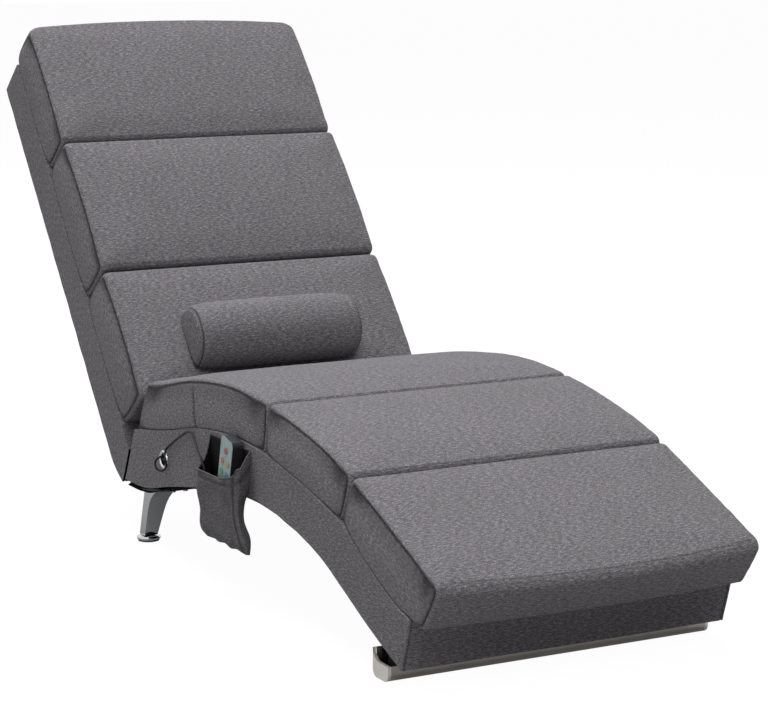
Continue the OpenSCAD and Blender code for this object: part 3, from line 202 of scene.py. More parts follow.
def dressed(made, colour, relief, depth, roughness, metallic=0.0):  # depth of the relief in metres, and its strength
    material, tree, shader = made
    raised = addNode(tree, "ShaderNodeBump", inputs={"Height": relief, "Distance": depth[0], "Strength": depth[1]})
    setInputs(tree, shader, {"Base Color": colour, "Normal": raised, "Roughness": roughness, "Metallic": metallic})
    return material


# Heather polyester upholstery cloth, woven from mixed light and dark yarn, so it looks flecked and dull.
# The yarn is really 0.6 mm thick and is drawn at 1.2 mm, as finer threads don't show in the render. Sizes in metres.
clothValues = {"threadPitch": 0.0024, "crossing": 0.25, "fleckLength": 0.0058, "fleckWidth": 0.0012,
               "slub": (0.009, 0.0021, 1), "slubShare": 0.38, "cloud": 0.07, "cloudTone": 0.93, "yarnHeight": 1.4,
               "relief": (0.0004, 0.35), "roughness": 0.92, "specular": 0.1, "sheen": 0.08,
               "sheenRoughness": 0.6, "dark": "#3d3b41", "mid": "#777478", "light": "#bfbcc0", "seamShade": "#1f1d20"}


def heatherCloth(name, darker=1.0):
    material, tree, shader = newMaterial(name)
    v = clothValues
    where = addNode(tree, "ShaderNodeUVMap", {"uv_map": "cloth"})
    along = grainOf(tree, where, (v["fleckLength"], v["fleckWidth"], 1), 2)
    across = grainOf(tree, where, (v["fleckWidth"], v["fleckLength"] / 2, 1), 2)
    split = addNode(tree, "ShaderNodeSeparateXYZ", inputs={0: where})
    waves, threads = [], []
    for axis in (0, 1):
        turns = addNode(tree, "ShaderNodeMath", {"operation": "MULTIPLY"},
                        {0: split.outputs[axis], 1: 2 * math.pi / v["threadPitch"]})
        waves.append(addNode(tree, "ShaderNodeMath", {"operation": "SINE"}, {0: turns}))
        threads.append(addNode(tree, "ShaderNodeMath", {"operation": "ABSOLUTE"}, {0: waves[axis]}))
    over = addNode(tree, "ShaderNodeMath", {"operation": "MULTIPLY"}, {0: waves[0], 1: waves[1]})
    pick = addNode(tree, "ShaderNodeMapRange", inputs={"Value": over, "From Min": -v["crossing"],
                                                       "From Max": v["crossing"]})
    yarn = addNode(tree, "ShaderNodeMix", {"data_type": "RGBA"}, {0: pick, 6: along, 7: across}).outputs[2]
    slub = grainOf(tree, where, v["slub"], 2, 0.6)
    mixed = addNode(tree, "ShaderNodeMix", {"data_type": "RGBA"}, {0: v["slubShare"], 6: yarn, 7: slub}).outputs[2]
    stops = [(0.33, tint(v["dark"])), (0.5, tint(v["mid"])), (0.68, tint(v["light"]))]
    fibre = addNode(tree, "ShaderNodeValToRGB", {"stops": stops}, {0: mixed})
    clouds = grainOf(tree, addNode(tree, "ShaderNodeTexCoord").outputs["Object"], v["cloud"], 2)
    shade = addNode(tree, "ShaderNodeValToRGB", {"stops": [(0.3, v["cloudTone"] * darker), (0.7, darker)]},
                    {0: clouds})
    toned = addNode(tree, "ShaderNodeMix", {"data_type": "RGBA", "blend_type": "MULTIPLY"},
                    {0: 1.0, 6: fibre, 7: shade}).outputs[2]
    # painted shade: the seam attribute darkens the cloth to seamShade along the seams' grooves
    seam = addNode(tree, "ShaderNodeAttribute", {"attribute_name": "seam"}).outputs["Fac"]
    inSeam = tint(v["seamShade"])
    seamed = addNode(tree, "ShaderNodeMix", {"data_type": "RGBA"}, {0: seam, 6: toned, 7: inSeam}).outputs[2]
    woven = addNode(tree, "ShaderNodeMix", {"data_type": "RGBA"}, {0: pick, 6: threads[1], 7: threads[0]}).outputs[2]
    height = addNode(tree, "ShaderNodeMath", {"operation": "MULTIPLY_ADD"}, {0: mixed, 1: v["yarnHeight"], 2: woven})
    setInputs(tree, shader, {"Specular IOR Level": v["specular"], "Sheen Weight": v["sheen"],
                             "Sheen Roughness": v["sheenRoughness"]})
    return dressed((material, tree, shader), seamed, height, v["relief"], v["roughness"])


# A plain finish has a fine grain in its relief and gloss, and broad clouds in its colour. Sizes in metres.
def plainFinish(name, colour, roughness, metallic=0.0, grain=0.0008, depth=0.00005, spread=0.06, specular=0.5):
    material, tree, shader = newMaterial(name)
    where = addNode(tree, "ShaderNodeTexCoord").outputs["Object"]
    fine = grainOf(tree, where, grain, 3)
    wide = grainOf(tree, where, 0.05 if isinstance(grain, tuple) else 0.03, 2)
    base = tint(colour)
    low = tuple(c * (1 - spread) for c in base[:3]) + (1,)
    clouded = addNode(tree, "ShaderNodeValToRGB", {"stops": [(0.3, low), (0.7, base)]}, {0: wide})
    gloss = [(0.3, roughness * 0.85), (0.7, min(roughness * 1.15, 1.0))]
    worn = addNode(tree, "ShaderNodeValToRGB", {"stops": gloss}, {0: fine})
    shader.inputs["Specular IOR Level"].default_value = specular
    return dressed((material, tree, shader), clouded, fine, (depth, 0.6), worn, metallic)


def plywood():  # rotary-cut birch ply: pale, with long grain on the faces and thin dark plies on the edges
    made = newMaterial("birchPlywood")
    tree = made[1]
    where = addNode(tree, "ShaderNodeTexCoord").outputs["Object"]
    grain = grainOf(tree, where, (0.004, 0.12, 0.004), 5, 0.65)
    stops = [(0.3, tint("#b08b5a")), (0.55, tint("#c9a877")), (0.75, tint("#d9bd90"))]
    figure = addNode(tree, "ShaderNodeValToRGB", {"stops": stops}, {0: grain})
    plies = addNode(tree, "ShaderNodeTexWave", {"wave_type": "BANDS", "bands_direction": "Z"},
                    {"Vector": where, "Scale": 90.0, "Distortion": 0.6, "Detail": 1.0})
    edges = addNode(tree, "ShaderNodeValToRGB", {"stops": [(0.4, 1.0), (0.6, 0.55)]}, {0: plies})
    colour = addNode(tree, "ShaderNodeMix", {"data_type": "RGBA", "blend_type": "MULTIPLY"},
                     {0: 0.18, 6: figure, 7: edges}).outputs[2]
    return dressed(made, colour, grain, (0.0003, 0.5), 0.68)


def foam():  # cut polyether foam: cream, dull, with open cells of about 1.4 mm
    made = newMaterial("polyetherFoam")
    tree = made[1]
    cells = addNode(tree, "ShaderNodeTexVoronoi", inputs={
        "Vector": addNode(tree, "ShaderNodeTexCoord").outputs["Object"], "Scale": 700.0}).outputs["Distance"]
    stops = [(0.1, tint("#c9c1a2")), (0.6, tint("#ece6cf"))]
    return dressed(made, addNode(tree, "ShaderNodeValToRGB", {"stops": stops}, {0: cells}), cells, (0.0006, 0.7), 0.95)


def brass():  # turned brass: yellow, with fine rings from the lathe about the shaft
    made = newMaterial("turnedBrass")
    tree = made[1]
    rings = addNode(tree, "ShaderNodeTexWave", {"wave_type": "BANDS", "bands_direction": "X"}, {
        "Vector": addNode(tree, "ShaderNodeTexCoord").outputs["Object"], "Scale": 900.0, "Distortion": 0.2})
    stops = [(0.2, tint("#a9874f")), (0.8, tint("#bd9a60"))]
    return dressed(made, addNode(tree, "ShaderNodeValToRGB", {"stops": stops}, {0: rings}), rings, (0.00004, 0.5),
                   0.3, 1.0)


def circuitBoard():  # glass-fibre board under green solder mask, with the copper tracks showing through
    made = newMaterial("solderMaskBoard")
    tree = made[1]
    where = addNode(tree, "ShaderNodeTexCoord").outputs["Object"]
    tracks = addNode(tree, "ShaderNodeTexBrick", {"offset": 0.37}, {
        "Vector": where, "Color1": tint("#2f6b45"), "Color2": tint("#2a6040"), "Mortar": tint("#4d8f5c"),
        "Scale": 1.0, "Mortar Size": 0.0004, "Brick Width": 0.009, "Row Height": 0.0035})
    return dressed(made, tracks, grainOf(tree, where, 0.002), (0.0001, 0.4), 0.35)


handsetFace = -281.15  # X beyond which the shell is the pale face plate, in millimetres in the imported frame


def handsetShell():  # moulded ABS, pale teal on the face plate and charcoal round the sides
    made = newMaterial("mouldedHandset")
    tree = made[1]
    where = addNode(tree, "ShaderNodeTexCoord").outputs["Object"]
    split = addNode(tree, "ShaderNodeSeparateXYZ", inputs={0: where})
    face = addNode(tree, "ShaderNodeMath", {"operation": "LESS_THAN"}, {0: split, 1: handsetFace / 1000})
    stops = [(0.3, tint("#94aeac")), (0.7, tint("#a8bfbd"))]
    plate = addNode(tree, "ShaderNodeValToRGB", {"stops": stops}, {0: grainOf(tree, where, 0.02)})
    colour = addNode(tree, "ShaderNodeMix", {"data_type": "RGBA"}, {0: face, 6: tint("#29292c"), 7: plate}).outputs[2]
    return dressed(made, colour, grainOf(tree, where, 0.0006, 2), (0.00004, 0.5), 0.38)


cloth = heatherCloth("heatherCloth")
coverCloth = heatherCloth("heatherClothOfFrame", 0.95)
# darker heather cloth: the pocket's cloth, and painted shade on the bare end of the back's deck
pocketAndShadeCloth = heatherCloth("heatherClothOfPocketAndShade", 0.6)
# plated steel: mirror-like, hardly any grain
chrome = plainFinish("chromedSteel", "#cfd1d3", 0.09, 1.0, 0.0006, 0.00001, 0.03)
# chromed strip, rolled: a softer mirror with fine rolling lines along it
channelChrome = plainFinish("rolledChromedSteel", "#c9c4bd", 0.24, 1.0, (0.05, 0.001, 0.001), 0.00002, 0.08)
# satin chrome, brushed before plating: pale, with a soft wide gloss
satinChrome = plainFinish("satinChromedSteel", "#e8e4de", 0.46, 1.0, (0.02, 0.0006, 0.0006), 0.00002, 0.05)
# stoved black paint: half gloss with a faint orange peel
paintedSteel = plainFinish("blackPaintedSteel", "#131315", 0.5, 0.0, 0.0009, 0.00004, 0.1)
# zinc-plated steel: dull silver with a faint spangle
zinc = plainFinish("zincPlatedSteel", "#9aa0a6", 0.34, 1.0, 0.0008, 0.00004, 0.12)
# deep-drawn steel can: draw lines along its length
drawnSteel = plainFinish("drawnSteelCan", "#8d9297", 0.3, 1.0, (0.0004, 0.02, 0.02), 0.00003, 0.1)
# ABS from spark-eroded moulds: fine pebble that dulls the gloss
blackAbs = plainFinish("blackAbs", "#1f1f22", 0.5, 0.0, 0.0007, 0.00006, 0.15)
greyAbs = plainFinish("greyAbs", "#2d2d31", 0.46, 0.0, 0.0007, 0.00006, 0.12)
# moulded rubber: dull and slightly bloomed
rubber = plainFinish("blackRubber", "#18181a", 0.78, 0.0, 0.0012, 0.0001, 0.2)
# extruded soft PVC: smooth, with a soft gloss
leadPvc = plainFinish("softPvcLead", "#070708", 0.45, 0.0, 0.0009, 0.00003, 0.1, 0.25)
# non-woven polypropylene: pressed fibres, quite dull
dustFelt = plainFinish("nonWovenPolypropylene", "#101012", 0.92, 0.0, 0.0014, 0.0002, 0.25, 0.08)
# plain-woven lining, black and dull: inside the pocket it is partly painted shade, and in the joint of base and back it
# is all painted shade
blackLiningAndShade = plainFinish("blackLiningAndPaintedShade", "#121214", 0.88, 0.0, 0.0011, 0.00015, 0.2, 0.08)
# felt with carbon heating threads, which run one way through it
heaterFelt = plainFinish("carbonHeaterFelt", "#232327", 0.9, 0.0, (0.002, 0.012, 0.002), 0.0003, 0.25)
ply, foamStuff, turnedBrass, board, shell = plywood(), foam(), brass(), circuitBoard(), handsetShell()
# the keys: smooth moulded ABS, told apart by muted colours
keyColours = {"power_key": "#a85a54", "mode_key": "#bf9755", "heat_key": "#b87863",
              "level_key": "#5f8fa6", "timer_key": "#6b9673"}
finishOfNode = {
    "base_side_panels": ply, "base_rails": ply, "base_deck": ply, "back_side_panels": ply, "back_rails": ply,
    "back_deck": ply, "seat_brackets": zinc, "back_brackets": zinc, "bracket_screws": zinc, "rear_legs": chrome,
    "leg_plates": paintedSteel, "leg_screws": zinc, "foot_discs": chrome, "foot_pads": rubber,
    "front_channel": channelChrome, "channel_ends": satinChrome, "channel_blocks": blackAbs, "channel_screws": zinc,
    "motor_trays": blackAbs, "motor_lids": greyAbs, "motor_cans": drawnSteel, "control_tray": blackAbs,
    "control_lid": greyAbs, "control_board": board, "power_inlet": blackAbs, "motor_wiring": leadPvc,
    "port_ring": chrome, "port_insert": blackAbs, "handset_back": blackAbs, "handset_front": shell,
    "handset_board": board,
    **{r + "_rotor": turnedBrass for r in ("calf", "thigh", "lumbar", "middle", "neck")},
    **{k: plainFinish(k.split("_")[0] + "KeyAbs", c, 0.4, 0.0, 0.0005, 0.00003) for k, c in keyColours.items()},
}
for name, finish in finishOfNode.items():
    nodes[name].data.materials.clear()
    nodes[name].data.materials.append(finish)


def roundAlong(name, line, radius, roundness):  # a round section carried along a line
    curve = bpy.data.curves.new(name, "CURVE")
    curve.dimensions = "3D"
    curve.bevel_depth = radius
    curve.bevel_resolution = roundness
    curve.use_fill_caps = True
    spline = curve.splines.new("POLY")
    spline.points.add(len(line) - 1)
    for point, at in zip(spline.points, line):
        point.co = (*at, 1)
    return addObject(name, curve)


# Handset lead: it leaves the port, makes one loop, arches over and hangs into the pocket
print("stage: lead")
port = {"share": 0.8306, "height": 0.664, "holeRadius": 12}
portY = body["toeOverhang"] + port["share"] * body["baseLength"]
portZ = body["crest"] * port["height"]
pocket = {"width": 193, "height": 164, "reach": 30, "share": 0.545, "seamDrop": 5, "wall": 1.4, "hemRadius": 1.3,
          "flat": (0.46, 0.19), "slack": 3.2, "crease": 3.2, "wave": 1.6, "seamDepth": 1.1, "seamShade": 0.85}
pocketTop = basePoint(deckShares, pocket["share"]) - np.array([0, pocket["seamDrop"]])
pocketBottom = pocketTop[1] - pocket["height"]
pocketRear = pocketTop[0] + pocket["width"] / 2
# loop, arch and drop: how far out from the side, how far along (in the arch as a share of the way), and how high
lead = {"diameter": 3.6, "end": (-287, 660.5, 111), "turn": (-287, 662.5, 102.3),
        "loop": [(-8.5, 0, 5), (-2, 0, 5), (4, -3, 6), (10, -7, 7), (16, -6, 3), (19, -6, -4), (18, -9, -11),
                 (13, -15, -15), (8, -20, -12), (6, -23, -4), (7, -22, 4), (7, -19, 11), (5, -18, 19)],
        "arch": [(3, 0.12, 26), (3, 0.19, 34), (3, 0.3, 45), (3, 0.4, 55), (3, 0.49, 63), (3, 0.56, 67),
                 (3, 0.63, 67), (5, 0.70, 60), (8, 0.77, 53), (12, 0.85, 47), (16, 0.92, 44), (18, 0.98, 41)],
        "drop": [(18, 91, 111), (18, 82, 92), (17, 79, 70), (16, 77, 46), (15, 73, 26), (14, 64, 13),
                 (13, 50, 7), (13, 38, 6)]}
leadRoute = ([(-halfWidth - a, portY + b, portZ + c) for a, b, c in lead["loop"]]
             + [(-halfWidth - a, portY + (pocketRear - portY) * b, portZ + c) for a, b, c in lead["arch"]]
             + [(-halfWidth - a, pocketTop[0] + b, pocketBottom + c) for a, b, c in lead["drop"]]
             + [lead["turn"], lead["end"]])
leadLine = [place(p) for p in curveThrough(leadRoute, 5)]
handsetLead = roundAlong("handsetLead", leadLine, lead["diameter"] / 2000, 3)
handsetLead.data.materials.append(leadPvc)
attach(handsetLead, "recliner")
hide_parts("handset_lead")


# Mesh helpers
def meshObject(name, points, faces, merge=0.0):
    mesh = bpy.data.meshes.new(name)
    bm = bmesh.new()
    verts = [bm.verts.new(p) for p in points]
    for f in faces:
        bm.faces.new([verts[i] for i in f])
    if merge:
        bmesh.ops.remove_doubles(bm, verts=bm.verts, dist=merge)
        bmesh.ops.dissolve_degenerate(bm, edges=bm.edges, dist=merge / 4)
    bmesh.ops.recalc_face_normals(bm, faces=bm.faces)
    bm.to_mesh(mesh)
    bm.free()
    return addObject(name, mesh)


def ringFaces(n, count, closed=True, offset=0):
    last = n if closed else n - 1
    return [(offset + k * n + i, offset + (k + 1) * n + i, offset + (k + 1) * n + (i + 1) % n,
             offset + k * n + (i + 1) % n) for k in range(count - 1) for i in range(last)]


def coordsOf(mesh):
    flat = np.empty(len(mesh.vertices) * 3)
    mesh.vertices.foreach_get("co", flat)
    return flat.reshape(-1, 3)


def setCoords(mesh, coords):
    mesh.vertices.foreach_set("co", coords.ravel())
    mesh.update()


def normalsOf(mesh):
    flat = np.empty(len(mesh.vertices) * 3)
    mesh.vertex_normals.foreach_get("vector", flat)
    return flat.reshape(-1, 3)


def noiseAt(coords, scale, start=0.0):  # scale in turns per metre along each axis
    return np.array([noise.noise(Vector(p)) for p in coords * scale + start])


def applied(obj):  # the mesh with its modifiers, as a plain mesh
    graph = bpy.context.evaluated_depsgraph_get()
    done = bpy.data.meshes.new_from_object(obj.evaluated_get(graph))
    obj.modifiers.clear()
    old = obj.data
    obj.data = done
    done.name = obj.name
    bpy.data.meshes.remove(old)
    return obj


def subdivided(obj, levels=1):
    m = obj.modifiers.new("subdivision", "SUBSURF")
    m.levels = m.render_levels = levels
    return applied(obj)


def cut(obj, tool):
    m = obj.modifiers.new("cut", "BOOLEAN")
    m.operation = "DIFFERENCE"
    m.solver = "EXACT"
    m.object = tool
    applied(obj)
    bpy.data.objects.remove(tool)
    return obj


def prism(outline, half, where=asIs):  # a block across X with this side view
    n = len(outline)
    points = [place((x, *where(p))) for x in (-half, half) for p in outline]
    faces = [tuple(range(n)), tuple(range(2 * n - 1, n - 1, -1))] + ringFaces(n, 2)
    return meshObject("tool", points, faces)


def shadeSmooth(obj):
    obj.data.polygons.foreach_set("use_smooth", [True] * len(obj.data.polygons))


def clothUv(obj, tilt=0.0):  # metres along the cloth: sides by Y and Z, the rest by X and the way along
    mesh = obj.data
    mesh.update()
    coords = coordsOf(mesh)
    c, s = math.cos(math.radians(tilt)), math.sin(math.radians(tilt))
    turned = np.stack([coords[:, 0], coords[:, 1] * c + coords[:, 2] * s, coords[:, 2] * c - coords[:, 1] * s], 1)
    count = len(mesh.polygons)
    normal = np.empty(count * 3)
    mesh.polygons.foreach_get("normal", normal)
    normal = normal.reshape(-1, 3)
    facing = np.abs(np.stack([normal[:, 0], normal[:, 1] * c + normal[:, 2] * s,
                              normal[:, 2] * c - normal[:, 1] * s], 1))
    main = facing.argmax(1)
    totals, corners = np.empty(count, int), np.empty(len(mesh.loops), int)
    mesh.polygons.foreach_get("loop_total", totals)
    mesh.loops.foreach_get("vertex_index", corners)
    axis = np.repeat(main, totals)
    p = turned[corners]
    u = np.where(axis == 0, p[:, 1], p[:, 0])
    v = np.where(axis == 2, p[:, 1], p[:, 2])
    while mesh.uv_layers:
        mesh.uv_layers.remove(mesh.uv_layers[0])
    layer = mesh.uv_layers.new(name="cloth")
    layer.data.foreach_set("uv", np.stack([u, v], 1).ravel())


def setSeam(obj, shares):
    mesh = obj.data
    layer = mesh.attributes.get("seam") or mesh.attributes.new("seam", "FLOAT", "POINT")
    layer.data.foreach_set("value", np.clip(shares, 0, 1))


def finished(obj, material, bodyName, replaced=(), tilt=0.0):
    obj.data.materials.clear()
    obj.data.materials.append(material)
    obj.data.polygons.foreach_set("material_index", [0] * len(obj.data.polygons))
    clothUv(obj, tilt)
    shadeSmooth(obj)
    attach(obj, bodyName)
    if replaced:
        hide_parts(*replaced)
    return obj


# Cushions: rounded loops stacked between a lower and an upper line, as the drawing has them
print("stage: cushions")
# inset of the sides and of the ends as shares of the thickness, and the height as a share of the way up
loopShares = [(0.042, 0.06, 0), (0.011, 0.018, 0.06), (0, 0, 0.4), (0.004, 0.005, 0.81), (0.018, 0.017, 0.93),
              (0.055, 0.05, 0.99), (0.16, 0.13, 1.025), (0.65, 0.55, 1.05), (1.35, 0.92, 1.06)]
# lengths in millimetres, but simVoxel and the half length of the fold in metres
cushionForm = {"rowParts": 5, "innerLoops": 7, "endPoints": 14, "cornerPoints": 9, "sidePoints": 62,
               "corner": 0.1, "cornerLimit": 0.9, "draw": 0.012, "crown": 5, "foamMargin": 0.2, "foamHeight": 0.8,
               "seamInset": 4.2, "seamDepth": 1.7, "seamWidth": 1.05, "seamPuff": 0.8, "puffAt": 5, "puffWidth": 3.5,
               "pucker": 0.5, "puckerReach": 14, "unevenness": 0.35,
               "sideSeam": {"width": 2.8, "depth": 2.4, "puff": 0.8, "puffAt": 9, "puffWidth": 5},
               "fold": {"depth": 1.5, "reach": 38, "half": 0.045, "fade": 8}, "noseFrom": 0.8,
               "shrink": 1.0, "swellCap": 2.4, "simVoxel": 0.009, "simFrames": 20, "pressure": 4.0, "heldBelow": 0.06,
               "freeFrom": 0.1, "freeOver": 0.5, "endOver": 0.2, "endFree": 0.05,
               "cloth": {"quality": 5, "mass": 0.3, "tension_stiffness": 18, "compression_stiffness": 18,
                         "shear_stiffness": 6, "bending_stiffness": 1.5}}


def roundedLoop(hw, hl, r, farCorner):
    form = cushionForm
    r = min(r, 0.999 * hl) if hl > 0 else 0
    far = min(r * farCorner, 0.999 * hl)
    half = [(x, -hl) for x in np.linspace(0, hw - r, form["endPoints"])[:-1]]
    half += [(hw - r + r * math.cos(a), r - hl + r * math.sin(a))
             for a in np.linspace(-math.pi / 2, 0, form["cornerPoints"])]
    half += [(hw, y) for y in np.linspace(r - hl, hl - far, form["sidePoints"])[1:-1]]
    half += [(hw - far + far * math.cos(a), hl - far + far * math.sin(a))
             for a in np.linspace(0, math.pi / 2, form["cornerPoints"])]
    half += [(x, hl) for x in np.linspace(hw - far, 0, form["endPoints"])[1:]]
    return half + [(-x, y) for x, y in reversed(half[1:-1])]


def bulged(p, hw, hl, bulge):
    swell, reach = 1 - (p[0] / hw)**2, abs(p[1] / hl)**4
    return (p[0] * (1 - cushionForm["draw"] * reach),
            p[1] + swell * reach * (-bulge[0] if p[1] < 0 else bulge[1]))


def cushionBlank(name, c):
    lower, upper, thickness = c["low"], c["high"], c["thickness"]
    length = np.linalg.norm(lerp(lower(1), upper(1), 0.5) - lerp(lower(0), upper(0), 0.5))
    rows = curveThrough(loopShares, cushionForm["rowParts"])
    loops, heights, ends = [], [], []

    def addLoop(hw, hl, r, height, shapeHl=None):
        line = []
        for p in roundedLoop(hw, hl, r, c["farCorner"]):
            q = bulged(p, hw, max(shapeHl or hl, 1e-6), c["bulge"])
            low = cushionForm["noseFrom"]
            nearTop = min(max((height - low) / (1 - low), 0), 1)
            eased = c["nose"] * nearTop**2 * min(q[1], 0) / (length / 2)  # rounder front top edge
            t = (q[1] - eased) / length + 0.5
            at = lerp(lower(t), upper(t), height)
            line.append(place((q[0], *c["where"](at))))
            heights.append(height)
            ends.append(abs(q[1]) / (length / 2))
        loops.append(line)
    lowSide, lowEnd = (body["width"] / 2 - rows[0][0] * thickness, length / 2 - rows[0][1] * thickness)
    for k in range(cushionForm["innerLoops"], 0, -1):  # the flat underside, from its middle out
        part = k / cushionForm["innerLoops"]
        addLoop(lowSide - lowEnd * part, lowEnd * (1 - part), 0.1 * thickness * (1 - part), 0, lowEnd)
    for row in rows:
        hw, hl = halfWidth - row[0] * thickness, length / 2 - row[1] * thickness
        r = min(cushionForm["cornerLimit"] * hl,
                max(cushionForm["corner"], (row[0] + cushionForm["corner"]) / 2) * thickness)
        addLoop(hw, hl, r, row[2])
    topSide, topEnd, topR = hw, hl, r
    for k in range(1, cushionForm["innerLoops"] + 1):
        part = k / cushionForm["innerLoops"]
        addLoop(topSide - topEnd * part, topEnd * (1 - part), topR * (1 - part),
                rows[-1][2] + 0.008 * (1 - (1 - part)**2), topEnd)
    n = len(loops[0])
    points = [p for line in loops for p in line]
    tree = kdtree.KDTree(len(points))
    for i, p in enumerate(points):
        tree.insert(p, i)
    tree.balance()
    obj = meshObject(name, points, ringFaces(n, len(loops)), 0.00002)
    return obj, tree, heights, ends


def puffed(obj, tree, heights, ends, form):  # inflates a coarse copy as cloth and carries its moves over
    coarse = addObject("coarse", obj.data.copy())
    remesh = coarse.modifiers.new("remesh", "REMESH")
    remesh.mode = "VOXEL"
    remesh.voxel_size = form["simVoxel"]
    applied(coarse)
    mesh = coarse.data
    rest = coordsOf(mesh)
    inward = normalsOf(mesh) * (form["shrink"] / 1000)
    held = coarse.vertex_groups.new(name="held")
    free = np.ones(len(rest))
    for i, p in enumerate(rest):
        at = tree.find(p)[1]
        held.add([i], 1.0 if heights[at] < form["heldBelow"] else 0.0, "REPLACE")
        free[i] = (np.clip((heights[at] - form["freeFrom"]) / form["freeOver"], 0, 1)
                   * np.clip((1.0 - ends[at]) / form["endOver"], form["endFree"], 1))
    setCoords(mesh, rest - inward * free[:, None])
    start = coordsOf(mesh)
    sim = coarse.modifiers.new("cloth", "CLOTH")
    for key, value in form["cloth"].items():
        setattr(sim.settings, key, value)
    sim.settings.use_pressure = True
    sim.settings.uniform_pressure_force = form["pressure"]
    sim.settings.vertex_group_mass = "held"
    sim.settings.effector_weights.gravity = 0
    sim.collision_settings.use_collision = False
    sim.point_cache.frame_start = 1
    sim.point_cache.frame_end = form["simFrames"]
    for f in range(1, form["simFrames"] + 1):
        scene.frame_set(f)
    graph = bpy.context.evaluated_depsgraph_get()
    moved = coordsOf(coarse.evaluated_get(graph).to_mesh())
    shift = moved - start
    size = np.linalg.norm(shift, axis=1, keepdims=True) + 1e-9
    cap = form["swellCap"] / 1000
    shift = shift * (cap * np.tanh(size / cap) / size) * free[:, None]
    lookup = kdtree.KDTree(len(start))
    for i, p in enumerate(rest):
        lookup.insert(p, i)
    lookup.balance()
    coords = coordsOf(obj.data)
    out = coords.copy()
    for i, p in enumerate(coords):
        near = lookup.find_n(p, 8)
        weights = np.array([1 / (d + 0.001) for _, _, d in near])
        out[i] = p + (weights[:, None] * shift[[k for _, k, _ in near]]).sum(0) / weights.sum()
    setCoords(obj.data, out)
    bpy.data.objects.remove(coarse)
    scene.frame_set(1)


def sewn(obj, form, sideSeam, gathered):
    # The side panels are sewn in: the seam draws in all round, and the cloth rises beside it.
    mesh = obj.data
    coords, normals = coordsOf(mesh), normalsOf(mesh)
    edge = halfWidth - np.abs(coords[:, 0] * 1000 - body["shift"][0])
    seam = np.exp(-((edge - form["seamInset"]) / form["seamWidth"])**2)
    beside = np.exp(-((edge - form["seamInset"] - form["puffAt"]) / form["puffWidth"])**2)
    depth = -form["seamDepth"] * seam + form["seamPuff"] * beside
    drawn = (np.exp(-np.maximum(edge - form["seamInset"], 0) / form["puckerReach"])
             * np.clip(edge / form["seamInset"], 0, 1))
    waves, broad = noiseAt(coords, (9, 95, 95)), noiseAt(coords, (14, 22, 22), (0, 0, 7))
    depth += form["pucker"] * drawn * waves + form["unevenness"] * broad
    if gathered is not None:  # short folds that run in from the seam where the thread is tight
        off = coords[:, 1] - place((0, gathered, 0))[1]
        folds = noiseAt(coords, (5, 75, 0), (0, 0, 3))
        fold = form["fold"]
        depth += (fold["depth"] * folds * np.exp(-np.maximum(edge, 0) / fold["reach"])
                  * np.clip(edge / fold["fade"], 0, 1) * np.exp(-(off / fold["half"])**2))
    stitched = noiseAt(coords[:, [1, 2, 0]], (260, 260, 0), (0, 0, 1))
    # painted shade along the seam's groove and along the side seam
    mark = seam * np.clip(0.9 + 0.3 * stitched, 0, 1)
    if sideSeam is not None:
        a, b = (np.array(place((0, *p))[1:]) for p in sideSeam)
        run = (b - a) / np.linalg.norm(b - a)
        off = (coords[:, 1:] - a) @ np.array([-run[1], run[0]]) * 1000
        flank = np.clip((form["seamInset"] - edge) / 2, 0, 1)
        s = form["sideSeam"]
        line = np.exp(-(off / s["width"])**2) * flank
        depth += (-s["depth"] * line
                  + s["puff"] * np.exp(-((np.abs(off) - s["puffAt"]) / s["puffWidth"])**2) * flank)
        mark = np.maximum(mark, line)
    setCoords(mesh, coords + normals * (depth / 1000)[:, None])
    setSeam(obj, mark)


def foamOutline(lower, upper, ends, heights):
    ts = np.linspace(ends[0], ends[1], 13)
    return ([lerp(lower(t), upper(t), heights[0]) for t in ts]
            + [lerp(lower(t), upper(t), heights[1]) for t in reversed(ts)])


def between(first, last, height):
    return lambda t: deckAt(first + (last - first) * t, height)


foot = {"nose": 46, "noseDrop": 7, "frontHeight": 62, "rearLow": 0.2065, "rearHigh": 0.205, "rearHeight": 80}


def footLow(t):
    rear = deckAt(foot["rearLow"], body["deckPlay"])
    y = foot["nose"] + (rear[0] - foot["nose"]) * t
    share = max(shareOf(y), 0)
    ahead = max(body["toeOverhang"] - y, 0) / (body["toeOverhang"] - foot["nose"])
    step = basePoint(deckShares, share + 0.01) - basePoint(deckShares, share - 0.01)
    lift = body["deckPlay"] / math.cos(math.atan2(step[1], step[0]))
    return np.array([y, basePoint(deckShares, share)[1] + lift - foot["noseDrop"] * min(ahead, 1)])


def footHigh(t):
    return lerp((0, frontTop[1] + foot["frontHeight"]), deckAt(foot["rearHigh"], foot["rearHeight"]), t)


def backLow(ends):
    return lambda t: np.array([lerp(ends[0], ends[1], t), body["backDepth"] + body["softGap"]])


def backHigh(ends, thickness):
    return lambda t: np.array([lerp(ends[0], ends[1], t), body["backDepth"] + thickness * (1 - 0.04 * t)
                               + 4 * cushionForm["crown"] * (t - t * t - 0.25)])


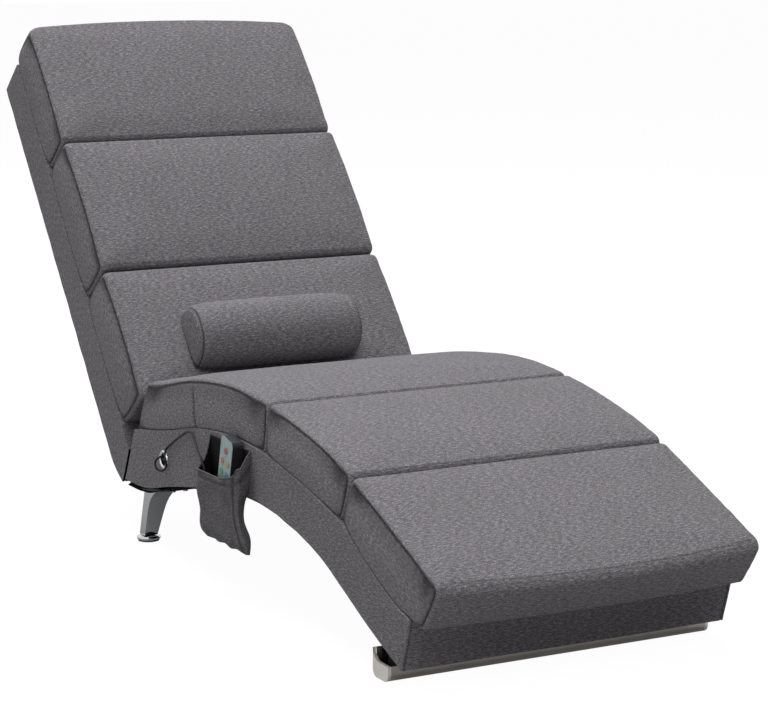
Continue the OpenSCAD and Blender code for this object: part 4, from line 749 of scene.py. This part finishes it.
lumbarEnds = (-0.0816 * body["backLength"], 0.2771 * body["backLength"])
middleEnds = (0.2813 * body["backLength"], 0.6653 * body["backLength"])
headEnds = (0.6695 * body["backLength"], 1.0352 * body["backLength"])
plainCushion = {"bulge": (0.6, 0.6), "farCorner": 1, "nose": 0, "sideSeam": None, "gathered": None}
onBase, onBack = {"where": asIs}, {"where": fromBack, "tilt": body["backAngle"]}
cushionSet = {
    "seat": {"low": between(0.457, 0.953, body["deckPlay"]), "high": between(0.456, 0.897, 80), "thickness": 80,
             "tilt": 0, "sideSeam": ((814, 328), (796, 252)), **onBase},
    "knee": {"low": between(0.208, 0.4555, body["deckPlay"]), "high": between(0.2065, 0.4545, 80), "thickness": 80,
             "tilt": 12, **onBase},
    "foot": {"low": footLow, "high": footHigh, "thickness": 84, "bulge": (18, 0.6), "tilt": 25, "nose": 9,
             "gathered": 58, **onBase},
    "lumbar": {"low": backLow(lumbarEnds), "high": backHigh(lumbarEnds, 108), "thickness": 108, **onBack},
    "middle": {"low": backLow(middleEnds), "high": backHigh(middleEnds, 104), "thickness": 104, **onBack},
    "head": {"low": backLow(headEnds), "high": backHigh(headEnds, 94), "thickness": 94, "bulge": (0.6, 12),
             "farCorner": 2.2, **onBack},
}
for name, values in cushionSet.items():
    c = {**plainCushion, **values}
    obj, tree, heights, ends = cushionBlank(name + "Cushion", c)
    puffed(obj, tree, heights, ends, cushionForm)
    subdivided(obj)
    sewn(obj, cushionForm, c["sideSeam"], c["gathered"])
    length = np.linalg.norm(lerp(c["low"](1), c["high"](1), 0.5) - lerp(c["low"](0), c["high"](0), 0.5))
    margin = cushionForm["foamMargin"] * c["thickness"]
    inset = (margin - body["softGap"]) / length
    hollow = foamOutline(c["low"], c["high"], (inset, 1 - inset),
                         (-5 / c["thickness"], cushionForm["foamHeight"] + body["softGap"] / c["thickness"]))
    cut(obj, prism(hollow, halfWidth - margin + body["softGap"], c["where"]))
    finished(obj, cloth, "recliner", [name + "_cushion"], c["tilt"])
    print("stage:", name, "cushion", len(obj.data.vertices))

# Foam cores and the heating mat, from the drawing's own solids with their cut edges eased
print("stage: foam cores")
coreEdge = {"width": 0.0015, "padWidth": 0.0006, "segments": 2, "angle": 40}
for node in ("seat_foam", "knee_foam", "foot_foam", "lumbar_foam", "middle_foam", "head_foam", "heater_pad"):
    core = addObject(node.replace("_f", "F").replace("_p", "P"), nodes[node].data.copy())
    bm = bmesh.new()
    bm.from_mesh(core.data)
    bmesh.ops.remove_doubles(bm, verts=bm.verts, dist=0.00001)
    bm.to_mesh(core.data)
    bm.free()
    ease = core.modifiers.new("eased", "BEVEL")
    heat = node == "heater_pad"
    ease.width = coreEdge["padWidth" if heat else "width"]
    ease.segments = coreEdge["segments"]
    ease.limit_method = "ANGLE"
    ease.angle_limit = math.radians(coreEdge["angle"])
    applied(core)
    finished(core, heaterFelt if heat else foamStuff, "recliner", [node])
    for polygon in core.data.polygons:
        polygon.use_smooth = False

# Lumbar bolster: a half round across the lumbar cushion, with sewn-in end panels
print("stage: bolster")
bolster = {"length": 314, "shift": -7, "height": 123, "thickness": 76, "low": -30, "around": 72, "rings": 64,
           "backShare": 0.16, "power": 0.88, "endShare": 0.7, "endDome": 0.012, "seamAt": 0.972, "seamWidth": 0.008,
           "seamDepth": 1.3, "puff": 0.7, "puffAt": 0.942, "puffWidth": 0.02, "pucker": 0.8, "puckerFrom": 0.6}


def bolsterRing(u, k):
    x = bolster["shift"] + u * bolster["length"] / 2
    rest = cushionSet["lumbar"]
    face = lerp(rest["low"](0.5), rest["high"](0.5), loopShares[-1][2])[1] + 2 * body["softGap"]
    ring = []
    for i in range(bolster["around"]):
        a = 2 * math.pi * i / bolster["around"]
        c, s = math.cos(a), math.sin(a)
        depth = bolster["thickness"] * ((1 - bolster["backShare"]) if c > 0 else bolster["backShare"]) * c
        sn = (bolster["low"] + bolster["height"] / 2
              + math.copysign(abs(s)**bolster["power"], s) * k * bolster["height"] / 2,
              face + bolster["thickness"] * bolster["backShare"] + k * depth)
        ring.append(place((x, *fromBack(sn))))
    return ring


rings = []
for i in range(bolster["rings"] + 1):
    u = math.sin(math.pi / 2 * (2 * i / bolster["rings"] - 1))
    k = bolster["endShare"] + (1 - bolster["endShare"]) * (1 - min(abs(u), 1)**6)**(1 / 3)
    rings.append(bolsterRing(u, k))
for k in np.linspace(0.92, 0.0, 9):  # end panels, a little domed
    dome = 1 + bolster["endDome"] * (1 - k * k)
    rings.insert(0, bolsterRing(-dome, bolster["endShare"] * k))
    rings.append(bolsterRing(dome, bolster["endShare"] * k))
count = bolster["around"]
lumbarBolster = meshObject("lumbarBolster", [p for r in rings for p in r], ringFaces(count, len(rings)), 0.00002)
subdivided(lumbarBolster)
coords, normals = coordsOf(lumbarBolster.data), normalsOf(lumbarBolster.data)
endwise = np.abs(coords[:, 0] * 1000 - body["shift"][0] - bolster["shift"]) / (bolster["length"] / 2)
seam = np.exp(-((endwise - bolster["seamAt"]) / bolster["seamWidth"])**2)
waves = noiseAt(coords, (12, 55, 55))
rise = (-bolster["seamDepth"] * seam
        + bolster["puff"] * np.exp(-((endwise - bolster["puffAt"]) / bolster["puffWidth"])**2)
        + bolster["pucker"] * waves * np.clip((endwise - bolster["puckerFrom"]) / (1 - bolster["puckerFrom"]), 0, 1))
setCoords(lumbarBolster.data, coords + normals * (rise / 1000)[:, None])
# painted shade along the end seams
setSeam(lumbarBolster, 0.8 * seam)
finished(lumbarBolster, cloth, "bolster", ["lumbar_bolster"], body["backAngle"])


# Cloth covers of the base and the back, ruled between two lines of the side view
print("stage: covers")
cover = {"edgeRadius": 1.1, "edgeSteps": 3, "edgeSupport": 0.8, "support": 0.3, "seamLines": (4, 5, 6, 8),
         "across": 14, "lip": 0.7, "backLip": 0.27, "cornerSpare": 0.8, "seamInset": 5, "seamDepth": 0.9,
         "seamWidth": 1.2, "seamShade": 0.7, "slack": 0.8}


def supported(line):  # one more point close to each end keeps the corner crisp when the cloth is smoothed
    share = cover["support"]
    return [line[0], lerp(line[0], line[1], share), *line[1:-1], lerp(line[-1], line[-2], share), line[-1]]


def ruledBlock(name, high, low, levels, where):
    high, low, across = supported(high), supported(low), supported(list(np.linspace(0, 1, levels)))
    count, levels = len(high), levels + 2
    r = cover["edgeRadius"]
    stations = [(halfWidth - r + r * math.sin(a), r * (1 - math.cos(a)))
                for a in np.linspace(math.pi / 2, 0, cover["edgeSteps"] + 1)]
    stations += [(x, 0.0) for x in (halfWidth - r - cover["edgeSupport"],
                                    *(halfWidth - d for d in cover["seamLines"]),
                                    *np.linspace(halfWidth - r, 0, cover["across"])[1:])]
    stations = stations + [(-x, inset) for x, inset in reversed(stations[:-1])]

    def sheet(inset):  # the side view as a grid from the low line to the high one
        grid = np.array([[lerp(low[i], high[i], v) for i in range(count)] for v in across])
        if inset:
            for edge, beside in ((grid[:, 0], grid[:, 1]), (grid[:, -1], grid[:, -2]), (grid[0], grid[1]),
                                 (grid[-1], grid[-2])):
                step = beside - edge
                edge += step / np.linalg.norm(step, axis=1)[:, None] * inset
        return grid
    rim = ([(0, i) for i in range(count)] + [(k, count - 1) for k in range(1, levels)]
           + [(levels - 1, i) for i in range(count - 2, -1, -1)] + [(k, 0) for k in range(levels - 2, 0, -1)])
    points, faces = [], []
    for x, inset in stations:
        grid = sheet(inset)
        points += [place((x, *where(grid[k, i]))) for k, i in rim]
    faces += ringFaces(len(rim), len(stations))
    for x in (stations[0][0], stations[-1][0]):
        grid = sheet(stations[0][1])
        start = len(points)
        points += [place((x, *where(grid[k, i]))) for k in range(levels) for i in range(count)]
        faces += ringFaces(count, levels, False, start)
    return meshObject(name, points, faces, 0.00002)


def sewnCover(obj, up):  # the cloth lies flat on the deck, so only the faces away from it have slack
    subdivided(obj)
    coords, normals = coordsOf(obj.data), normalsOf(obj.data)
    edge = halfWidth - np.abs(coords[:, 0] * 1000 - body["shift"][0])
    seam = np.exp(-((edge - cover["seamInset"]) / cover["seamWidth"])**2)
    broad = noiseAt(coords, (11, 13, 30), (0, 0, 3))
    offDeck = 1 - np.clip(3 * normals @ np.array(up) - 1, 0, 1)
    depth = (-cover["seamDepth"] * seam + cover["slack"] * (broad - 0.3)) * offDeck
    setCoords(obj.data, coords + normals * (depth / 1000)[:, None])
    # painted shade along the seam's groove
    setSeam(obj, cover["seamShade"] * seam * offDeck)


def cylinder(centre, axis, radius, depth):  # a tool for round holes
    bm = bmesh.new()
    bmesh.ops.create_cone(bm, cap_ends=True, segments=40, radius1=radius / 1000, radius2=radius / 1000,
                          depth=depth / 1000)
    turn = Vector(axis).to_track_quat("Z", "Y").to_matrix().to_4x4()
    turn.translation = place(centre)
    bm.transform(turn)
    mesh = bpy.data.meshes.new("tool")
    bm.to_mesh(mesh)
    bm.free()
    return addObject("tool", mesh)


steps = 90
baseHigh = [offLine(deckShares, deckEnd * i / steps, cover["lip"]) for i in range(steps + 1)]
baseLow = [basePoint(undersideShares, undersideStart + (1 - undersideStart) * i / steps) for i in range(steps + 1)]
baseCover = ruledBlock("baseCover", baseHigh, baseLow, 16, asIs)
sewnCover(baseCover, (0, 0, 1))
wall = body["coverThickness"]


def faceY(low, high, z):
    return low[0] + (high[0] - low[0]) * (z - low[1]) / (high[1] - low[1])


underDeck = [basePoint(deckShares, s) for s in np.linspace(0, deckEnd, steps + 1)]
underDeck = [p for p in underDeck
             if faceY(frontLow, frontTop, p[1]) + wall < p[0] < faceY(rearLow, rearTop, p[1]) - wall]
baseHollow = [(faceY(frontLow, frontTop, 0) + wall, 0), *underDeck, (faceY(rearLow, rearTop, 0) - wall, 0)]
cut(baseCover, prism(baseHollow, halfWidth - wall))  # open below, and the cloth stays over the deck
cut(baseCover, cylinder((-halfWidth, portY, portZ), (1, 0, 0), port["holeRadius"], 60))
wirePass = {"share": 0.42, "x": 29, "radius": 4, "depth": 72}
passAt = lerp(rearLow, rearTop, wirePass["share"])
cut(baseCover, cylinder((wirePass["x"], *passAt), (0, *rearNormal), wirePass["radius"], wirePass["depth"]))
finished(baseCover, coverCloth, "recliner", ["base_cover"])


def shadeJoint(obj, sign):  # painted shade: black lining on the faces in the joint, and dark cloth on the bare end of the back's deck, stand in for the shade in the crevice between base and back
    obj.data.materials.append(blackLiningAndShade)
    obj.data.materials.append(pocketAndShadeCloth)
    for polygon in obj.data.polygons:
        at = np.array(polygon.center)[1:] * 1000 - np.array(body["shift"])[1:]
        facing = np.array(polygon.normal)[1:]
        joint = abs(facing @ rearNormal - sign) < 0.12 and abs((at - rearLow) @ rearNormal) < 20
        bare = sign < 0 and facing @ np.array([-backSin, backCos]) > 0.9 and inBack(at)[0] < lumbarEnds[0]
        if joint or bare:
            polygon.material_index = 1 if joint else 2


# painted shade in the joint of base and back
shadeJoint(baseCover, 1)

front, tip = body["backDepth"], body["tipDepth"]
deckStart = mateS(front, body["jointGap"]) - cover["cornerSpare"]
backHighLine = [(s, front + cover["backLip"]) for s in np.linspace(deckStart, body["backLength"], steps + 1)]
heel = []
for t in np.linspace(0, 1, 15):
    s = body["heelStart"] - body["heelCurve"] * (1 - t)
    heel.append((s, body["heelRadius"] - math.sqrt(body["heelRadius"]**2 - (s - body["heelStart"])**2)))
path = [(mateS(tip, body["jointGap"]), tip)] + heel + [(body["backLength"], 0)]
lengths = np.concatenate([[0], np.cumsum([math.dist(a, b) for a, b in zip(path, path[1:])])])
backLowLine = [(np.interp(d, lengths, [p[0] for p in path]), np.interp(d, lengths, [p[1] for p in path]))
               for d in np.linspace(0, lengths[-1], steps + 1)]
backCover = ruledBlock("backCover", backHighLine, backLowLine, 10, fromBack)
sewnCover(backCover, (0, -backSin, backCos))
inner = ([(mateS(front, body["jointGap"] + wall), front),
          (mateS(tip + wall, body["jointGap"] + wall), tip + wall)]
         + [(s + wall * 0.5, n + wall) for s, n in heel[::3]]
         + [(body["backLength"] - wall, wall), (body["backLength"] - wall, front)])
cut(backCover, prism(inner, halfWidth - wall, fromBack))
cut(backCover, cylinder((wirePass["x"], *passAt), (0, *rearNormal), wirePass["radius"], wirePass["depth"]))
finished(backCover, coverCloth, "recliner", ["back_cover"], body["backAngle"])
# painted shade in the joint, and on the bare end of the back's deck
shadeJoint(backCover, -1)

# Dust cloth: black felt stapled over the open underside, so it sags a little between the rails
print("stage: dust cloth")
dust = {"inset": 4, "thickness": 0.9, "lift": 0.8, "sag": 5, "sagFrom": 60, "sags": 6, "wrinkle": 0.9, "fold": 0.3,
        "hemWidth": 12, "hemDrop": 7, "dropFrom": 0.78, "dropOver": 0.18, "hemUneven": 1.4,
        "along": 150, "across": 60, "flatLength": 1.08,
        "stapleInset": 7, "stapleDepth": 1.2, "stapleSpacing": 42, "stapleWidth": 11, "stapleWire": 1.1}
dustWidth = body["width"] - 2 * dust["inset"]
firstShare, lastShare = shareOf(frontLow[0] + dust["inset"]), shareOf(rearLow[0] - dust["inset"])


def dustPoint(u, v, lift=0.0):  # u across, v along, both from 0 to 1
    fromEdge = min(u, 1 - u) * dustWidth
    inner = min(1, fromEdge / dust["sagFrom"]) * min(1, min(v, 1 - v) * body["baseLength"] / dust["sagFrom"])
    sag = dust["sag"] * inner * (0.45 + 0.55 * math.sin(math.pi * v * dust["sags"])**2)
    wrinkle = dust["wrinkle"] * inner * noise.noise(Vector((u * 7, v * 16, 2)))
    fold = dust["fold"] * math.exp(-((fromEdge - dust["hemWidth"]) / 3)**2)
    loose = dust["hemDrop"] * min(max((v - dust["dropFrom"]) / dust["dropOver"], 0), 1)  # lower towards the rear
    uneven = dust["hemUneven"] * (1 + abs(noise.noise(Vector((v * 15, u * 3, 5)))))
    edge = max(0.0, 1 - fromEdge / dust["hemWidth"]) * (loose + uneven)
    low = offLine(undersideShares, firstShare + (lastShare - firstShare) * v,
                  lift - (dust["lift"] + sag + wrinkle + fold + edge))
    return place((-dustWidth / 2 + u * dustWidth, *low))


us = np.linspace(0, 1, dust["across"] + 1)
vs = np.linspace(0, 1, dust["along"] + 1)
dustCloth = meshObject("dustCloth", [dustPoint(u, v) for v in vs for u in us],
                       ringFaces(len(us), len(vs), False))
below = sum(p.normal.z * p.area for p in dustCloth.data.polygons)
if below > 0:
    dustCloth.data.flip_normals()
thick = dustCloth.modifiers.new("felt", "SOLIDIFY")
thick.thickness = dust["thickness"] / 1000
thick.offset = 0
applied(dustCloth)
inletAt = {"x": -0.218 * body["width"], "share": 0.897, "radius": 8.5}
inletPoint = basePoint(undersideShares, inletAt["share"])
cut(dustCloth, cylinder((inletAt["x"], *inletPoint), (0, 0, 1), inletAt["radius"], 60))
finished(dustCloth, dustFelt, "recliner", ["base_dust_cover"])

# Staples by Geometry Nodes: one wire staple every few centimetres along the cloth's hem
stapleTree = bpy.data.node_groups.new("staplesAlongHem", "GeometryNodeTree")
stapleTree.is_modifier = True
for label, kind, direction in (("Geometry", "NodeSocketGeometry", "INPUT"), ("Spacing", "NodeSocketFloat", "INPUT"),
                               ("Width", "NodeSocketFloat", "INPUT"), ("Wire", "NodeSocketFloat", "INPUT"),
                               ("Finish", "NodeSocketMaterial", "INPUT"), ("Geometry", "NodeSocketGeometry", "OUTPUT")):
    stapleTree.interface.new_socket(name=label, in_out=direction, socket_type=kind)
inside = addNode(stapleTree, "NodeGroupInput")
hemPath = addNode(stapleTree, "GeometryNodeMeshToCurve", inputs={"Mesh": inside.outputs["Geometry"]})
spaced = addNode(stapleTree, "GeometryNodeResampleCurve", {"mode": "LENGTH"},
                 {"Curve": hemPath, "Length": inside.outputs["Spacing"]})
crown = addNode(stapleTree, "GeometryNodeCurvePrimitiveLine", inputs={"Start": (-0.5, 0, 0), "End": (0.5, 0, 0)})
wide = addNode(stapleTree, "ShaderNodeCombineXYZ", inputs={0: inside.outputs["Width"], 1: 1.0, 2: 1.0})
stretched = addNode(stapleTree, "GeometryNodeTransform", inputs={"Geometry": crown, "Scale": wide})
wireSection = addNode(stapleTree, "GeometryNodeCurvePrimitiveCircle",
                      inputs={"Resolution": 6, "Radius": inside.outputs["Wire"]})
staple = addNode(stapleTree, "GeometryNodeCurveToMesh",
                 inputs={"Curve": stretched, "Profile Curve": wireSection, "Fill Caps": True})
tangent = addNode(stapleTree, "GeometryNodeInputTangent")
facing = addNode(stapleTree, "FunctionNodeAlignRotationToVector", {"axis": "X"}, {"Vector": tangent})
spread = addNode(stapleTree, "GeometryNodeInstanceOnPoints",
                 inputs={"Points": spaced, "Instance": staple, "Rotation": facing})
real = addNode(stapleTree, "GeometryNodeRealizeInstances", inputs={"Geometry": spread})
paint = addNode(stapleTree, "GeometryNodeSetMaterial",
                inputs={"Geometry": real, "Material": inside.outputs["Finish"]})
addNode(stapleTree, "NodeGroupOutput", inputs={"Geometry": paint})


def repeated(name, tree, line, values):  # runs a tree on a line of points and keeps the result as a plain mesh
    mesh = bpy.data.meshes.new(name)
    mesh.from_pydata(line, [(i, i + 1) for i in range(len(line) - 1)], [])
    obj = addObject(name, mesh)
    modifier = obj.modifiers.new("repeat", "NODES")
    modifier.node_group = tree
    keys = {item.name: item.identifier for item in tree.interface.items_tree if item.in_out == "INPUT"}
    for label, value in values.items():
        modifier[keys[label]] = value
    return applied(obj)


left, first = dust["stapleInset"] / dustWidth, dust["stapleInset"] / body["baseLength"]
corners = [(left, first), (left, 1 - first), (1 - left, 1 - first), (1 - left, first), (left, first)]
hemLine = [dustPoint(u, v, -dust["stapleDepth"])
           for (ua, va), (ub, vb), parts in zip(corners, corners[1:], (80, 30, 80, 30))
           for u, v in zip(np.linspace(ua, ub, parts), np.linspace(va, vb, parts))]
staples = repeated("dustClothStaples", stapleTree, hemLine,
                   {"Spacing": dust["stapleSpacing"] / 1000, "Width": dust["stapleWidth"] / 1000,
                    "Wire": dust["stapleWire"] / 2000, "Finish": zinc})
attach(staples, "recliner")

# Side pocket: a cloth bag hung under the seat cushion, dark inside with a black lining that is partly painted shade,
# with a turned hem
print("stage: side pocket")
# once round the bag: how far in towards the body, how far to the rear, and how much of the front rim's height
planShares = [(0, 0, 1), (0.35, 0, 0.8), (0.75, 0, 0.55), (0.95, 0.03, 0.5), (1, 0.12, 0.25), (0.99, 0.3, 0.09),
              (0.96, 0.5, 0), (0.99, 0.7, 0), (1, 0.88, 0), (0.95, 0.96, 0.02), (0.7, 0.99, 0.05), (0.3, 1, 0.35),
              (0, 1, 1)]
# from the bottom up: height at the body and in front, outer and inner front edge, rear edge, reach in and out
rowShares = [(0, 0, -0.32, -0.41, 0.44, 0.30, 0.62), (0.06, 0.06, -0.28, -0.47, 0.48, 0.12, 0.85),
             (0.13, 0.13, -0.23, -0.45, 0.49, 0.01, 0.94), (0.26, 0.26, -0.12, -0.37, 0.48, 0, 0.96),
             (0.40, 0.42, -0.13, -0.33, 0.51, 0, 0.95), (0.53, 0.62, -0.22, -0.32, 0.52, 0, 0.97),
             (0.655, 0.97, -0.25, -0.33, 0.52, 0, 1)]
plan = curveThrough(planShares, 6)


def pocketPoint(row, p, inset=0.0):
    out = (row[5] * pocket["reach"] + body["softGap"] + inset) * (1 - p[0]) + (row[6] * pocket["reach"] - inset) * p[0]
    frontY = (row[2] * (1 - p[0]) + row[3] * p[0]) * pocket["width"] + inset
    rearY = row[4] * pocket["width"] - inset
    height = max((row[0] * (1 - p[2]) + row[1] * p[2]) * pocket["height"], inset)
    return place((-halfWidth - out, pocketTop[0] + frontY + (rearY - frontY) * min(max(p[1], 0), 1),
                  pocketBottom + height))


rows = curveThrough(rowShares, 6)
pocketPoints = [pocketPoint(r, p) for r in rows for p in plan]
pocketFaces = ringFaces(len(plan), len(rows))
middle = pocketPoint([*rows[0][:5], 0.46, 0.46], (0.5, 0.5, 0))
pocketFaces += [(i, (i + 1) % len(plan), len(pocketPoints)) for i in range(len(plan))]
sidePocket = meshObject("sidePocket", pocketPoints + [middle], pocketFaces)
gussetColumn, hemRow = 24, len(rows) - 4
pocketSeams = np.zeros(len(pocketPoints) + 1)  # painted shade along the gusset's front edge and under the turned hem
for r in range(len(rows)):
    for k, share in ((-1, 0.5), (0, 1), (1, 0.5)):
        pocketSeams[r * len(plan) + gussetColumn + k] = share
pocketSeams[hemRow * len(plan):(hemRow + 1) * len(plan)] = 0.7
outward = sum(p.normal.x * (1 if p.center.x < place((-halfWidth - 15, 0, 0))[0] else -1) * p.area
              for p in sidePocket.data.polygons)
if outward > 0:
    sidePocket.data.flip_normals()
coords, normals = coordsOf(sidePocket.data), normalsOf(sidePocket.data)
slack = noiseAt(coords, (20, 24, 34))
loose = np.clip((coords[:, 0] * 1000 - body["shift"][0] + halfWidth + 6) / -12, 0, 1)
low = 1 - np.clip((coords[:, 2] * 1000 - pocketBottom) / pocket["height"], 0, 1)
along = (coords[:, 1] * 1000 - body["shift"][1] - pocketTop[0]) / pocket["width"]
crease = np.exp(-((along + 0.25 * low - 0.02) / 0.05)**2) * np.clip(low * (1.15 - low) * 3, 0, 1)
coords[:, 0] += (slack * pocket["slack"] + crease * pocket["crease"]) * loose / 1000
coords[:, 2] += pocket["wave"] / 1000 * np.sin(along * 26) * np.clip((low - 0.75) / 0.25, 0, 1)
coords -= normals * (pocketSeams * pocket["seamDepth"] / 1000)[:, None] * (1 if outward < 0 else -1)
setCoords(sidePocket.data, coords)
walls = sidePocket.modifiers.new("cloth", "SOLIDIFY")
walls.thickness = pocket["wall"] / 1000
walls.offset = -1
walls.use_rim = True
walls.material_offset = 1
sidePocket.data.materials.append(pocketAndShadeCloth)
sidePocket.data.materials.append(blackLiningAndShade)
applied(sidePocket)
side = [p.material_index for p in sidePocket.data.polygons]  # cloth outside, black lining inside, which partly paints the shade inside the pocket
finished(sidePocket, pocketAndShadeCloth, "recliner", ["side_pocket"])
sidePocket.data.materials.append(blackLiningAndShade)
sidePocket.data.polygons.foreach_set("material_index", side)
seamShares = np.zeros(len(sidePocket.data.vertices))
for first in (0, len(pocketSeams)):  # the outer and the inner wall
    seamShares[first:first + len(pocketSeams)] = pocket["seamShade"] * pocketSeams
setSeam(sidePocket, seamShares)
rimLine = [pocketPoint(rows[-1], p, 0.2) for p in plan]
hemCurve = roundAlong("pocketHem", rimLine, pocket["hemRadius"] / 1000, 1)
hemMesh = bpy.data.meshes.new_from_object(hemCurve.evaluated_get(bpy.context.evaluated_depsgraph_get()))
bpy.data.objects.remove(hemCurve)
pocketHem = addObject("pocketHem", hemMesh)
finished(pocketHem, pocketAndShadeCloth, "recliner")
setSeam(pocketHem, np.zeros(len(pocketHem.data.vertices)))

# Floor, world and lamps
print("stage: light")
light = {"lamps": {"topSoftbox": ((-0.3, 1.9, 6.0), 4.0, 322), "frontSoftbox": ((-1.1, -3.2, 3.9), 2.4, 86),
                   "sideSoftbox": ((-3.8, -0.2, 1.4), 2.4, 12)},
         "aim": (0, 0, 0.3), "ambient": 0.13, "floorShare": 0.84, "floorGlow": 1.155, "glossyShare": 0.08,
         "floorReach": 30, "floorColour": "#b0b0b0"}
floorMesh = bpy.data.meshes.new("floor")
floorMesh.from_pydata([(x * light["floorReach"], y * light["floorReach"], 0)
                       for x, y in ((-1, -1), (1, -1), (1, 1), (-1, 1))], [], [(0, 1, 2, 3)])
floor = addObject("floor", floorMesh)
floor.location.z = -0.0005  # just below the feet


def seenDirectly(tree, direct, mirrored):  # the share of white for camera rays, and for rays off metal
    rays = addNode(tree, "ShaderNodeLightPath").outputs
    glossy = addNode(tree, "ShaderNodeMath", {"operation": "MAXIMUM"},
                     {0: rays["Is Glossy Ray"], 1: rays["Is Transmission Ray"]})
    shares = [addNode(tree, "ShaderNodeMath", {"operation": "MULTIPLY"}, {0: ray, 1: share})
              for ray, share in ((rays["Is Camera Ray"], direct), (glossy, mirrored))]
    return addNode(tree, "ShaderNodeMath", {"operation": "MAXIMUM"}, {0: shares[0], 1: shares[1]})


floorPaint = bpy.data.materials.new("paleStudioFloor")
floorPaint.use_nodes = True
tree = floorPaint.node_tree
tree.nodes.clear()
matt = addNode(tree, "ShaderNodeBsdfDiffuse", inputs={"Color": tint(light["floorColour"])})
glow = addNode(tree, "ShaderNodeEmission", inputs={"Color": (1, 1, 1, 1), "Strength": light["floorGlow"]})
share = seenDirectly(tree, light["floorShare"], light["glossyShare"])
mixed = addNode(tree, "ShaderNodeMixShader", inputs={0: share, 1: matt, 2: glow})
addNode(tree, "ShaderNodeOutputMaterial", inputs={0: mixed})
floorMesh.materials.append(floorPaint)

world = bpy.data.worlds.new("studio")
scene.world = world
world.use_nodes = True
tree = world.node_tree
tree.nodes.clear()
seen = seenDirectly(tree, 1.0, 1.0)
level = addNode(tree, "ShaderNodeMath", {"operation": "MULTIPLY_ADD"},
                {0: seen, 1: 1.0 - light["ambient"], 2: light["ambient"]})
sky = addNode(tree, "ShaderNodeBackground", inputs={"Color": (1, 1, 1, 1), "Strength": level})
addNode(tree, "ShaderNodeOutputWorld", inputs={0: sky})


def areaLamp(name, at, size, power):
    lamp = bpy.data.lights.new(name, "AREA")
    lamp.size = size
    lamp.energy = power
    obj = addObject(name, lamp)
    obj.location = at
    obj.rotation_euler = (Vector(light["aim"]) - Vector(at)).to_track_quat("-Z", "Y").to_euler()


for name, (at, size, power) in light["lamps"].items():
    areaLamp(name, at, size, power)
scene.view_settings.view_transform = "Standard"

print("stage: done")
